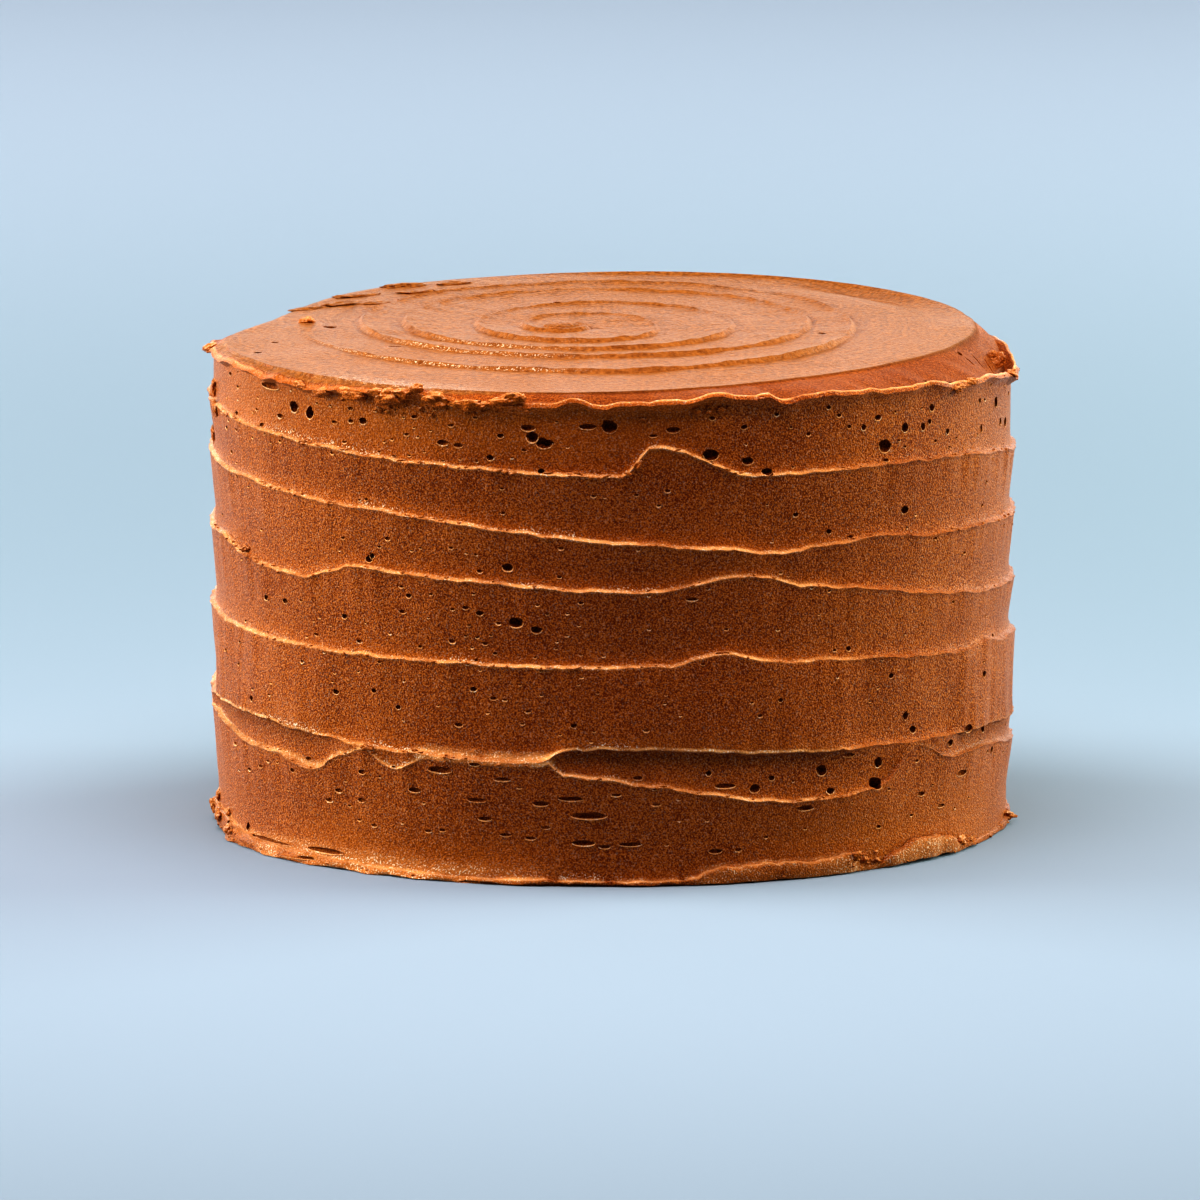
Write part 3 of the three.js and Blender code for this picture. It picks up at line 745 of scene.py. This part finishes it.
crumbs = {
    "seed": 5, "lumpFrom": 2.3,  # wider ones have finer faces
    "side": [                    # azimuth, height, wide, tall, stand, turn
        (-86, 120, 6.0, 3.0, 1.0, 20), (-84, 110, 5.0, 6.0, 0.9, 0), (-79.5, 106.4, 6.0, 3.0, 0.8, -30),
        (-88, 97.6, 4.0, 4.4, 0.8, 0),
        (11.6, 117.4, 2.2, 1.4, 1.0, 0), (13.4, 117.0, 1.8, 1.2, 0.9, 0), (15.2, 117.4, 2.4, 1.4, 1.0, 0),
        (4.2, 115.4, 1.2, 1.1, 0.6, 0), (5.0, 114.6, 0.9, 0.9, 0.5, 0), (58, 116.4, 4.0, 2.0, 1.0, 0),
        (-66, 74.4, 3.4, 1.8, 1.0, 15), (3.5, 104.2, 3.0, 1.6, 0.8, 50), (-37, 31.4, 3.6, 1.8, 0.9, 0),
        (60.6, 2.6, 4.4, 2.2, 1.9, 10), (63.4, 1.9, 2.8, 1.6, 1.5, 0), (84, 2.4, 2.6, 2.2, 2.2, 0),
        (87, 1.6, 2.0, 1.6, 1.8, 0), (-89, 4.0, 5.0, 3.6, 1.0, 0), (-85, 7.4, 4.0, 3.0, 0.8, 0),
        (-80, 3.4, 5.0, 3.0, 0.9, 0), (-76, 5.4, 4.0, 2.4, 0.8, 0), (-71, 2.6, 6.0, 2.4, 0.8, 0),
        (36.6, 4.2, 3.2, 2.0, 1.3, 0), (38.6, 3.0, 2.0, 1.6, 1.2, 0), (41.0, 2.2, 2.2, 1.4, 1.2, 0)],
    "lip": [                     # azimuth, rise over the lip, wide, tall, stand, turn
        (-14.4, 0.6, 8.4, 2.8, 2.0, 12), (-33, -1.0, 9.0, 3.6, 1.8, 8), (-26, -0.9, 8.0, 3.2, 1.7, -6),
        (-20, -1.1, 7.0, 2.8, 1.5, 4), (-39.5, -1.0, 8.0, 3.0, 1.5, -5), (-45, -1.2, 6.0, 2.4, 1.2, 6),
        (-31, -0.4, 6.0, 2.6, 1.4, 0), (-28.6, 0.2, 4.0, 2.4, 1.4, 20), (-35, -0.2, 4.6, 2.0, 1.2, -8),
        (-50, -0.2, 5.0, 2.0, 1.0, -10), (-22, -0.5, 5.0, 1.8, 1.0, 5), (80, 0.3, 4.0, 2.4, 1.4, 0),
        (62, -0.2, 5.0, 2.0, 1.0, 0)],
    "top": [                     # x, y, wide, tall, stand, turn, roughness
        (-13, 11, 9.6, 9.0, 1.1, 0, 0.12), (-76.5, 18, 3.8, 3.4, 1.5, 25, 0.4),
        (-65, 62, 13.0, 4.5, 0.6, 30, 0.5), (-53, 78, 12.0, 4.5, 0.7, 22, 0.5),
        (-49, 68, 11.0, 4.0, 0.6, 20, 0.5), (-76, 42, 11.0, 4.0, 0.5, 42, 0.5),
        (-68, 48, 12.0, 4.0, 0.6, 34, 0.5), (-40, 82, 9.0, 4.0, 0.6, 15, 0.5),
        (-60, 50, 9.0, 3.4, 0.5, 25, 0.5), (94.5, -2, 5.0, 1.3, 3.0, 60, 0.8)],
    "ridges": [                  # turn, azimuths, how many, sizes: flakes along the ridge
        (0, -76, 24, 46, 0.8, 3.0), (1, -64, 12, 30, 0.7, 2.6), (2, -82, 40, 36, 0.7, 2.6),
        (3, -64, 30, 26, 0.7, 2.4), (4, -60, -8, 16, 0.7, 2.4), (5, -60, 40, 26, 0.7, 2.4),
        (0, 24, 80, 10, 0.7, 1.6), (1, 12, 84, 12, 0.7, 1.8)],
    "scattered": [               # azimuths, heights, how many, sizes
        (-100, 100, 0.6, 1.2, 46, 0.5, 1.3), (100, 260, 0.6, 1.6, 34, 0.6, 1.8),
        (95, 265, 117, 119, 12, 2.0, 5.0), (-90, 90, 116.5, 118.6, 26, 0.5, 1.4),
        (95, 265, 2, 6, 9, 2.0, 4.6), (-36, -24, 114.8, 118.4, 46, 0.6, 2.2),
        (-24, -11, 116, 118.4, 18, 0.6, 1.8), (11, 16.5, 116.4, 118.2, 26, 0.5, 1.5),
        (35, 41, 1.6, 5, 16, 0.5, 1.4)],
}
bpy.context.view_layer.update()
draw = random.Random(crumbs["seed"])
crumb, lump = modelOnce("crumb", 2), modelOnce("lump", 4)
torn = []
for azimuth, height, wide, tall, stand, turn in crumbs["side"]:
    place, normal = intoSide(azimuth, height)
    shape = lump if wide > crumbs["lumpFrom"] else crumb
    torn.append(copyOf(shape, place, normal, wide, tall, stand, 0.6, turn))
for azimuth, rise, wide, tall, stand, turn in crumbs["lip"]:
    place = Vector(onSide(azimuth, lipRadius(azimuth), lipTop(azimuth) + rise)) * mm
    outwards = Vector(onSide(azimuth, 1, 0.3)).normalized()
    torn.append(copyOf(lump, place, outwards, wide, tall, stand, 0.5, turn))
for x, y, wide, tall, stand, turn, uneven in crumbs["top"]:
    place, normal = ontoTop(x, y)
    normal = Vector((0, 0, 1)) if wide > 8 else normal
    torn.append(copyOf(lump, place, normal, wide, tall, stand, uneven, turn))
for left, right, low, high, count, smallest, largest in crumbs["scattered"]:
    for index in range(count):
        azimuth, height = draw.uniform(left, right), draw.uniform(low, high)
        place, normal = intoSide(azimuth, min(height, lipTop(azimuth) - 0.6))
        wide = lerp(smallest, largest, draw.random() ** 2)
        shape = lump if wide > crumbs["lumpFrom"] else crumb
        torn.append(copyOf(shape, place, normal, wide, 0.6 * wide, 0.3 * wide + 0.1, 0.6))
for turn, left, right, count, smallest, largest in crumbs["ridges"]:
    for index in range(count):
        column = round((360 * turn + draw.uniform(left, right)) / stepAngle)
        place, normal = intoSide(columnAzimuth(column), ridgePoint(column)[2] + draw.uniform(-0.1, 0.5))
        wide = lerp(smallest, largest, draw.random() ** 2)
        torn.append(copyOf(crumb, place, normal, wide, draw.uniform(0.4, 0.8), draw.uniform(0.25, 0.5), 0.6,
                           draw.uniform(-20, 20)))
crumbPiece = joinAll(torn, "icingCrumbs")
for leftover in (crumb, lump):
    bpy.data.objects.remove(leftover)
crumbPiece.data.validate()
print(len(torn), "crumbs set,", len(crumbPiece.data.polygons), "faces")


# marks for the finish: painted highlights on the knife edges, painted warm light above them, painted glints,
# the flat top with its painted sheen, and painted shade in the pits and under overhangs

marks = {
    "names": ("paintedEdgeHighlight", "paintedGlow", "shaded", "coatAndPaintedGlint", "smoothTopAndSheen"),
    "edge": 0.55, "paintedGlow": 5.5, "shelter": 5.0,   # reach of the painted edge highlight, of the painted warm light above it and of the painted shadow below
    "riser": (0.985, 0.88),                      # upward lean of the flat and of the spiral's step
    "wrinkled": (-35, 30, 120),                  # x below, y and z above: the wrinkles at the left rear
}

ridgeColumns, ridgeLevels = [], []
for column in range(columns):
    first = startColumn + 1 + (column - startColumn - 1) % columns
    ridgeColumns.append([first - columns] + list(range(first, endColumn, columns)))
    ridgeLevels.append([ridgePoint(c)[2] for c in ridgeColumns[-1]])
    tall, stand, gap = footRoll(columnAzimuth(column))
    if stand > 0.5:
        ridgeColumns[-1].append(endColumn)
        ridgeLevels[-1].append(tall)


def markSide(column, x, y, z):
    azimuth = columnAzimuth(column)
    turn = swing(0, azimuth)
    front = 1 - smoothstep(abs(turn), 24, 48)        # painted warm light, strongest at the front where the light falls from above
    overs = [z - level for level in ridgeLevels[column]]
    edge, paintedGlow, dark = 0.0, 0.0, 0.0
    for index, over in enumerate(overs):
        strength = edgeHighlightStrength(turn) if index else lipHighlightStrength(azimuth)
        broad = thickened(ridgeColumns[column][index])
        near = 1 - abs(over - 0.25 - broad) / (marks["edge"] + 1.3 * broad)
        edge = max(edge, strength * (1 - 0.6 * broad) * near)
        if over > -0.2:
            paintedGlow = max(paintedGlow, 1 - over / marks["paintedGlow"])
        elif index:
            # painted shadow under a ridge that hangs over the band below
            hangs = overhang(ridgeColumns[column][index])
            dark = max(dark, 0.6 * hangs * max(0.0, 1 + over / (0.3 + marks["shelter"] * hangs)))
    patchy = 1.0 + 0.9 * rough(x, y, z, 10, 71) + 0.9 * rough(x, y, z, 2.4, 72)
    # strength of the painted warm light: most at the front and at the left
    warm = 0.5 * front + 0.35 * between(turn, -75, -60, -40, -24)
    # painted glints in patches just above the ridges, from the left round to the front
    paintedLightPatch = between(turn, -70, -55, -2, 14) * smoothstep(rough(x, y, z, 14, 73), -0.05, 0.25)
    sparkle = paintedLightPatch * max([0.0] + [1 - abs(over - 0.8) / 1.1 for over in overs[1:]])
    return min(1.0, max(0.0, edge * patchy)), warm * max(0.0, paintedGlow) ** 1.5, min(1.0, dark), sparkle


def edgeHighlightStrength(turn):
    # strength of the painted highlight on the ridge crests, by where the light falls on them
    front = lerp(0.55, 0.92, smoothstep(turn, -42, -12)) * (1 - 0.92 * smoothstep(turn, 12, 46))
    return lerp(front, 0.4, smoothstep(abs(turn), 95, 140))


def lipHighlightStrength(azimuth):
    # strength of the painted highlight on the lip's crest
    turn = swing(0, azimuth)
    front = lerp(0.1, 1.0, smoothstep(turn, -14, -8)) if turn > -60 else 0.4
    return lerp(front, 0.5, smoothstep(abs(turn), 95, 140))


def markTop(azimuth, x, y, normal):
    edge = flatEdge(azimuth)
    flat = math.hypot(edge[0], edge[1]) - 1.5 - math.hypot(x, y)
    riser = smoothstep(-normal.z, -marks["riser"][0], -marks["riser"][1]) * smoothstep(flat, 0, 1)
    # painted glints on the spiral's steps at the front left
    coatAndPaintedGlint = 0.75 * riser * smoothstep(-x, 0, 30) * smoothstep(-y, 0, 25)
    # painted glints along the torn edge at the front left
    coatAndPaintedGlint = max(coatAndPaintedGlint, 0.8 * hump(flat + 0.5, 2.5) * swell(azimuth, -32, 26, 18))
    # painted shadow along the small step where the flat ends, painted shade on the bevel, and painted warm
    # light on the spiral's steps
    step = hump(flat + 2.0, 0.8) * smoothstep(math.hypot(edge[0], edge[1]), 97, 94)
    bevel = 0.34 * smoothstep(-flat, 2.2, 3.2) * smoothstep(math.hypot(edge[0], edge[1]), 97, 93)
    return 0.0, 0.15 * riser, max(bevel, 0.6 * step), coatAndPaintedGlint


def markFoot(azimuth, x, y, z):
    # painted highlight, glints and warm light on the smear at the left of the foot and on the slab at the
    # right
    turn, tall = swing(-36, azimuth), footRoll(azimuth)[0]
    smear = between(turn, -34, -14, 16, 32) * (1 - smoothstep(z, 3, 6.5))
    slab = between(turn, 46, 50, 94, 97) * (1 - smoothstep(z, tall - 0.2, tall + 0.4))
    patchy = 0.7 + 1.2 * rough(x, y, 3 * z, 12, 81) + 0.6 * rough(x, y, 4 * z, 4, 82)
    return max(smear, 0.7 * slab) * min(1.0, max(0.0, patchy))


def writeMarks(mesh, domain, rows):
    for name, values in zip(marks["names"], rows):
        mesh.attributes.new(name, "FLOAT", domain).data.foreach_set("value", list(values))


def markIcing():
    mesh = iced.data
    found = []
    for vertex in mesh.vertices:
        x, y, z = vertex.co / mm
        azimuth = math.degrees(math.atan2(x, -y)) % 360
        column = round(azimuth / stepAngle) % columns
        high = z > ridgeLevels[column][0] - 4 and math.hypot(x, y) < lipRadius(azimuth) - 0.4
        if high and vertex.normal.z > 0.3:
            mark = markTop(azimuth, x, y, vertex.normal)
        else:
            edge, paintedGlow, dark, sparkle = markSide(column, x, y, z)
            smear = markFoot(azimuth, x, y, z)
            # painted warm light thrown back onto the lower left, the upper band at the left and the lower
            # right
            turn = swing(-32, azimuth)
            paintedLightPatch = max(0.5 * between(turn, -30, -8, 12, 34) * (1 - smoothstep(z, 3, 17)),
                        0.5 * smoothstep(z, 103, 108) * (1 - smoothstep(abs(turn), 38, 50)),
                        0.45 * between(turn, 44, 62, 98, 112) * (1 - smoothstep(z, 8, 24)))
            # painted glints along the knife edges and the foot's smear, where the coat shines too
            coatAndPaintedGlint = 0.1 + edge * lerp(0.4, 0.9, smoothstep(-swing(0, azimuth), -35, -15))
            coatAndPaintedGlint = max(coatAndPaintedGlint, 0.9 * sparkle, 0.7 * smear)
            mark = max(edge, 0.2 * smear), max(paintedGlow, 0.8 * smear, paintedLightPatch), dark * (1 - smear), coatAndPaintedGlint
        edge, lip = flatEdge(azimuth), lipRadius(azimuth)
        flat = math.hypot(edge[0], edge[1])
        limit = lerp(lip - 1.2, flat, smoothstep(lip - icing["lipWidth"] - flat, 0.6, 3))
        inside = smoothstep(limit - math.hypot(x, y), -0.7, 0.1)
        found.append(mark + (inside * smoothstep(vertex.normal.z, 0.3, 0.6) if high else 0.0,))
    corners = [found[loop.vertex_index] for loop in mesh.loops]
    for index, wall in pitWalls.items():             # painted shade inside the pits: deep pits evenly dark, slits darker on their downward-facing walls
        face = mesh.polygons[index]
        dark = 0.7 if wall == "pitWall" else lerp(0.75, 0.35, smoothstep(face.normal.z, -0.3, 0.4))
        for corner in face.loop_indices:
            corners[corner] = (0.0, 0.0, dark, 0.0, 0.0)
    writeMarks(mesh, "CORNER", zip(*corners))


def markRims():
    # painted highlight and painted glints on the raised pit rims
    none = [0.0] * len(rimHighlight)
    writeMarks(rimPiece.data, "POINT", (rimHighlight, none, none, rimHighlight, none))


def markCrumbs():
    mesh = crumbPiece.data
    nub = Vector(icing["spiralNub"]) * mm
    onNub = [(vertex.co.xy - nub).length < 7 * mm for vertex in mesh.vertices]
    left, rear, high = (place * mm for place in marks["wrinkled"])
    wrinkled = [vertex.co.x < left and vertex.co.y > rear and vertex.co.z > high for vertex in mesh.vertices]
    flat = [float((on and vertex.normal.z > 0.7) or (low and vertex.normal.z > 0.3))
            for vertex, on, low in zip(mesh.vertices, onNub, wrinkled)]
    # painted light on the crumbs: a painted highlight on upward faces, painted shade on downward faces and
    # on the nub's sides, painted warm light elsewhere; the nub's top and the wrinkles take the flat top's
    # painted sheen
    down = [-vertex.normal.z for vertex in mesh.vertices]
    edge = [0.4 * smoothstep(-lean, 0.2, 0.9) * (1 - on) for lean, on in zip(down, flat)]
    dark = [0.7 * smoothstep(lean, -0.35, -0.1) if on else 0.3 * smoothstep(lean, 0.1, 0.8)
            for lean, on in zip(down, onNub)]
    writeMarks(mesh, "POINT", (edge, [0.4 * (1 - on) for on in flat], dark, edge, flat))


markIcing()
markRims()
markCrumbs()
print("icing marked")


# icing finish: deep, mid and light are the grain's own tones; edge is a painted highlight, the orange after
# it a painted warm bounce light, shade a painted shade, smoothDeep and smooth the flat top's painted sheen,
# glint painted glints

finish = {
    "deep": (0.135, 0.02, 0.0018, 1), "mid": (0.275, 0.057, 0.0055, 1), "light": (0.47, 0.13, 0.02, 1),
    "edge": (0.94, 0.43, 0.16, 1), "paintedGlow": (0.48, 0.125, 0.008, 1), "shade": (0.05, 0.008, 0.0006, 1),
    "smoothDeep": (0.142, 0.038, 0.005, 1), "smooth": (0.35, 0.122, 0.026, 1), "glint": (1.0, 0.8, 0.62, 1),
    "grainScale": 2400, "lumpScale": 900, "fleckScale": 2300, "mottleScale": 38, "streakScale": 900,
    "specular": 0.11, "specularTint": (1, 0.72, 0.5, 1), "sheenTint": (1, 0.86, 0.74, 1),
}


def addNode(tree, kind, spot, settings=None, values=None):
    node = tree.nodes.new(kind)
    node.location = spot
    for name, value in (settings or {}).items():
        setattr(node, name, value)
    for name, value in (values or {}).items():
        node.inputs[name].default_value = value
    return node


def icingGrain():
    # fine sugar grain, soft lumps, glinting flecks and mottling, by place on the cake
    group = bpy.data.node_groups.new("icingGrain", "ShaderNodeTree")
    group.interface.new_socket("Place", in_out="INPUT", socket_type="NodeSocketVector")
    for name in ("Grain", "Sugar", "Lumps", "Fleck", "Mottle"):
        group.interface.new_socket(name, in_out="OUTPUT", socket_type="NodeSocketFloat")
    start = addNode(group, "NodeGroupInput", (-800, 0))
    end = addNode(group, "NodeGroupOutput", (500, 0))
    sugar = addNode(group, "ShaderNodeTexVoronoi", (-400, 600), values={"Scale": finish["grainScale"]})
    noises = []
    for scale, detail in (("grainScale", 1), ("lumpScale", 1), ("fleckScale", 0), ("mottleScale", 3)):
        spot = (-400, 400 - 200 * len(noises))
        values = {"Scale": finish[scale], "Detail": detail}
        noises.append(addNode(group, "ShaderNodeTexNoise", spot, values=values))
    grain, lumps, fleck, mottle = noises
    fleckCut = addNode(group, "ShaderNodeMapRange", (-100, 0), values={"From Min": 0.58, "From Max": 0.74})
    for node in [sugar] + noises:
        group.links.new(start.outputs["Place"], node.inputs["Vector"])
    group.links.new(fleck.outputs["Fac"], fleckCut.inputs["Value"])
    given = (("Grain", grain, "Fac"), ("Sugar", sugar, "Distance"), ("Lumps", lumps, "Fac"),
             ("Fleck", fleckCut, "Result"), ("Mottle", mottle, "Fac"))
    for name, node, socket in given:
        group.links.new(node.outputs[socket], end.inputs[name])
    return group


def mathNode(tree, spot, operation, *values):
    node = addNode(tree, "ShaderNodeMath", spot, {"operation": operation})
    for socket, value in zip(node.inputs, values):
        if isinstance(value, (int, float)):
            socket.default_value = value
        else:
            tree.links.new(value, socket)
    return node.outputs["Value"]


def rampNode(tree, spot, amount, *stops):
    node = addNode(tree, "ShaderNodeValToRGB", spot)
    elements = node.color_ramp.elements
    for index, (position, name) in enumerate(stops):
        element = elements[index] if index < 2 else elements.new(position)
        element.position, element.color = position, finish[name]
    tree.links.new(amount, node.inputs["Fac"])
    return node.outputs["Color"]


def knifeRings(tree, where, smoothTopAndSheen):
    # streaks that the knife left round the spiral, on the flat top alone
    x, y = icing["spiralCentre"]
    shift = addNode(tree, "ShaderNodeVectorMath", (-1400, -500), {"operation": "SUBTRACT"})
    shift.inputs[1].default_value = (x * mm, y * mm, 0)
    flat = addNode(tree, "ShaderNodeVectorMath", (-1250, -500), {"operation": "MULTIPLY"})
    flat.inputs[1].default_value = (1, 1, 0)
    reach = addNode(tree, "ShaderNodeVectorMath", (-1100, -500), {"operation": "LENGTH"})
    sway = addNode(tree, "ShaderNodeTexNoise", (-1250, -700), values={"Scale": 40, "Detail": 1.0})
    tree.links.new(where, shift.inputs[0])
    tree.links.new(shift.outputs["Vector"], flat.inputs[0])
    tree.links.new(flat.outputs["Vector"], reach.inputs[0])
    tree.links.new(where, sway.inputs["Vector"])
    ring = mathNode(tree, (-950, -600), "MULTIPLY_ADD", sway.outputs["Fac"], 0.012, reach.outputs["Value"])
    streak = addNode(tree, "ShaderNodeTexNoise", (-800, -600), {"noise_dimensions": "1D"},
                     {"Scale": finish["streakScale"], "Detail": 2.0})
    tree.links.new(ring, streak.inputs["W"])
    return mathNode(tree, (-600, -600), "MULTIPLY", streak.outputs["Fac"], smoothTopAndSheen)


grainGroup = icingGrain()


def icingFinish():
    look = bpy.data.materials.new("chocolateIcing")
    look.use_nodes = True
    tree = look.node_tree
    shader = tree.nodes["Principled BSDF"]
    where = addNode(tree, "ShaderNodeTexCoord", (-1700, 0))
    grain = addNode(tree, "ShaderNodeGroup", (-1400, 0), {"node_tree": grainGroup})
    tree.links.new(where.outputs["Object"], grain.inputs["Place"])
    mark = {}
    for index, name in enumerate(marks["names"]):
        spot = (-1700, -200 * index - 300)
        mark[name] = addNode(tree, "ShaderNodeAttribute", spot, {"attribute_name": name}).outputs["Fac"]
    spread = addNode(tree, "ShaderNodeMapRange", (-1200, 500), values={"From Min": 0.3, "From Max": 0.7})
    tree.links.new(grain.outputs["Grain"], spread.inputs["Value"])
    mottle = grain.outputs["Mottle"]
    tone = mathNode(tree, (-1000, 300), "MULTIPLY_ADD", mottle, 0.4, spread.outputs["Result"])
    ramp = rampNode(tree, (-800, 300), tone, (0.3, "deep"), (1.0, "light"), (0.68, "mid"))
    rings = knifeRings(tree, where.outputs["Object"], mark["smoothTopAndSheen"])
    coarse = addNode(tree, "ShaderNodeMapRange", (-1200, 700), values={"From Min": 0.25, "From Max": 0.75})
    tree.links.new(grain.outputs["Lumps"], coarse.inputs["Value"])
    coarse = mathNode(tree, (-1100, 700), "MULTIPLY", coarse.outputs["Result"], 0.7)
    swept = mathNode(tree, (-1000, 700), "MULTIPLY_ADD", rings, 0.35, coarse)
    # the flat top's colour, with its painted sheen
    sheenTopColour = rampNode(tree, (-800, 700), swept, (0.15, "smoothDeep"), (0.8, "smooth"))
    colour = ramp
    # paint into the colour the top's sheen, the warm light, the edge highlights and the shade
    for name, share, tint in (("smoothTopAndSheen", 1.0, sheenTopColour), ("paintedGlow", 0.6, finish["paintedGlow"]),
                              ("paintedEdgeHighlight", 0.95, finish["edge"]), ("shaded", 0.9, finish["shade"])):
        amount = mathNode(tree, (-500, 500), "MULTIPLY", mark[name], share)
        blend = addNode(tree, "ShaderNodeMix", (-350, 300), {"data_type": "RGBA"})
        tree.links.new(amount, blend.inputs[0])
        tree.links.new(colour, blend.inputs[6])
        if name == "smoothTopAndSheen":
            tree.links.new(tint, blend.inputs[7])
        else:
            blend.inputs[7].default_value = tint
        colour = blend.outputs[2]
    # painted glints: pale flecks, where the coat shines too
    glints = mathNode(tree, (-700, -100), "MULTIPLY", grain.outputs["Fleck"], mark["coatAndPaintedGlint"])
    blend = addNode(tree, "ShaderNodeMix", (-200, 300), {"data_type": "RGBA"})
    tree.links.new(glints, blend.inputs[0])
    tree.links.new(colour, blend.inputs[6])
    blend.inputs[7].default_value = finish["glint"]
    tree.links.new(blend.outputs[2], shader.inputs["Base Color"])
    gloss = addNode(tree, "ShaderNodeMapRange", (-800, 0), values={"To Min": 0.36, "To Max": 0.26})
    tree.links.new(mottle, gloss.inputs["Value"])
    dull = mathNode(tree, (-600, 0), "MULTIPLY_ADD", mark["shaded"], 0.6, gloss.outputs["Result"])
    dull = mathNode(tree, (-450, 0), "MULTIPLY_ADD", mark["smoothTopAndSheen"], 0.05, dull)      # the flat is duller
    tree.links.new(dull, shader.inputs["Roughness"])
    tree.links.new(glints, shader.inputs["Coat Weight"])
    lumpy = mathNode(tree, (-1300, -150), "MULTIPLY_ADD", mark["smoothTopAndSheen"], 0.22, 0.2)
    relief = mathNode(tree, (-1150, -150), "MULTIPLY", grain.outputs["Lumps"], lumpy)
    relief = mathNode(tree, (-1000, -150), "MULTIPLY_ADD", grain.outputs["Sugar"], -0.2, relief)
    relief = mathNode(tree, (-900, -150), "MULTIPLY_ADD", grain.outputs["Grain"], 0.25, relief)
    calm = mathNode(tree, (-800, -400), "MULTIPLY_ADD", mark["smoothTopAndSheen"], -0.1, 1.0)
    relief = mathNode(tree, (-650, -300), "MULTIPLY", relief, calm)
    relief = mathNode(tree, (-450, -350), "MULTIPLY_ADD", rings, 0.25, relief)
    bump = addNode(tree, "ShaderNodeBump", (-250, -250), values={"Strength": 0.85, "Distance": 0.001})
    tree.links.new(relief, bump.inputs["Height"])
    tree.links.new(bump.outputs["Normal"], shader.inputs["Normal"])
    shader.inputs["Specular IOR Level"].default_value = finish["specular"]
    shader.inputs["Specular Tint"].default_value = finish["specularTint"]
    shader.inputs["Coat Roughness"].default_value = 0.14
    shader.inputs["Coat IOR"].default_value = 1.6
    shader.inputs["Sheen Weight"].default_value = 0.04
    shader.inputs["Sheen Roughness"].default_value = 0.4
    shader.inputs["Sheen Tint"].default_value = finish["sheenTint"]
    return look


icingLook = icingFinish()
for piece in (iced, rimPiece, crumbPiece):
    piece.data.materials.clear()
    piece.data.materials.append(icingLook)
    useOnly(piece)
    bpy.ops.object.shade_smooth_by_angle(angle=math.radians(50))
    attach(piece, "root")
    piece.data.calc_loop_triangles()
    print(piece.name, "finished,", len(piece.data.loop_triangles), "triangles")
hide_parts("frosted_cake")


# floor and lights

studio = {
    "floorSize": 14, "floorColour": (0.25, 0.302, 0.408, 1),
    "worldColour": (0.9, 0.9, 0.9, 1), "worldStrength": 0.05,
    "warm": (1, 0.88, 0.78), "cool": (0.86, 0.95, 0.82), "clear": (0.92, 0.97, 1), "green": (0.84, 1, 0.8),
}

clearSelection()
bpy.ops.mesh.primitive_plane_add(size=studio["floorSize"], location=(0, 0, 0))
floor = bpy.context.object
floor.name = "studioFloor"
floorLook = bpy.data.materials.new("paleFloor")
floorLook.use_nodes = True
floorLook.node_tree.nodes["Principled BSDF"].inputs["Base Color"].default_value = studio["floorColour"]
floorLook.node_tree.nodes["Principled BSDF"].inputs["Roughness"].default_value = 0.9
floorLook.node_tree.nodes["Principled BSDF"].inputs["Specular IOR Level"].default_value = 0.1
floor.data.materials.append(floorLook)

world = bpy.data.worlds.new("studioWorld")
world.use_nodes = True
world.node_tree.nodes["Background"].inputs["Color"].default_value = studio["worldColour"]
world.node_tree.nodes["Background"].inputs["Strength"].default_value = studio["worldStrength"]
bpy.context.scene.world = world

softboxes = {                    # place, wide, tall, watts, aim, colour
    "overheadBox": ((0, -0.205, 0.68), 0.55, 0.5, 5.5, (0, -0.205, 0), studio["warm"]),
    "leftBox": ((-1.48, 0.26, 0.48), 1.15, 0.9, 38, (0, 0, 0.06), studio["cool"]),
    "rightBox": ((1.42, 0.44, 0.53), 1.15, 0.9, 32.5, (0, 0, 0.06), studio["green"]),
    "leftVeil": ((-1.7, 0.9, 0.6), 2.6, 1.1, 20, (0, 0, 0.06), studio["cool"]),
    "rightVeil": ((1.7, 0.9, 0.6), 2.6, 1.1, 18, (0, 0, 0.06), studio["green"]),
    "backBox": ((0, 4.4, 0.85), 7.0, 1.5, 55, (0, 0, 0.12), studio["clear"]),
    "farBox": ((0, 1.5, 1.5), 5.0, 1.0, 18.5, (0, 1.5, 0), studio["warm"]),
}
for name, (place, wide, tall, watts, aim, tint) in softboxes.items():
    clearSelection()
    bpy.ops.object.light_add(type="AREA", location=place)
    lamp = bpy.context.object
    lamp.name = name
    lamp.data.shape = "RECTANGLE"
    lamp.data.size, lamp.data.size_y = wide, tall
    lamp.data.energy = watts
    lamp.data.color = tint
    if name == "farBox":
        lamp.data.spread = math.radians(76)       # shines down on the floor behind the cake alone
    lamp.visible_glossy = name not in ("leftBox", "rightBox")       # no glare of these two on the flat top
    lamp.rotation_euler = (Vector(aim) - Vector(place)).to_track_quat("-Z", "Y").to_euler()
bpy.context.scene.view_settings.view_transform = "Standard"
bpy.context.scene.view_settings.look = "High Contrast"
print("studio lit")
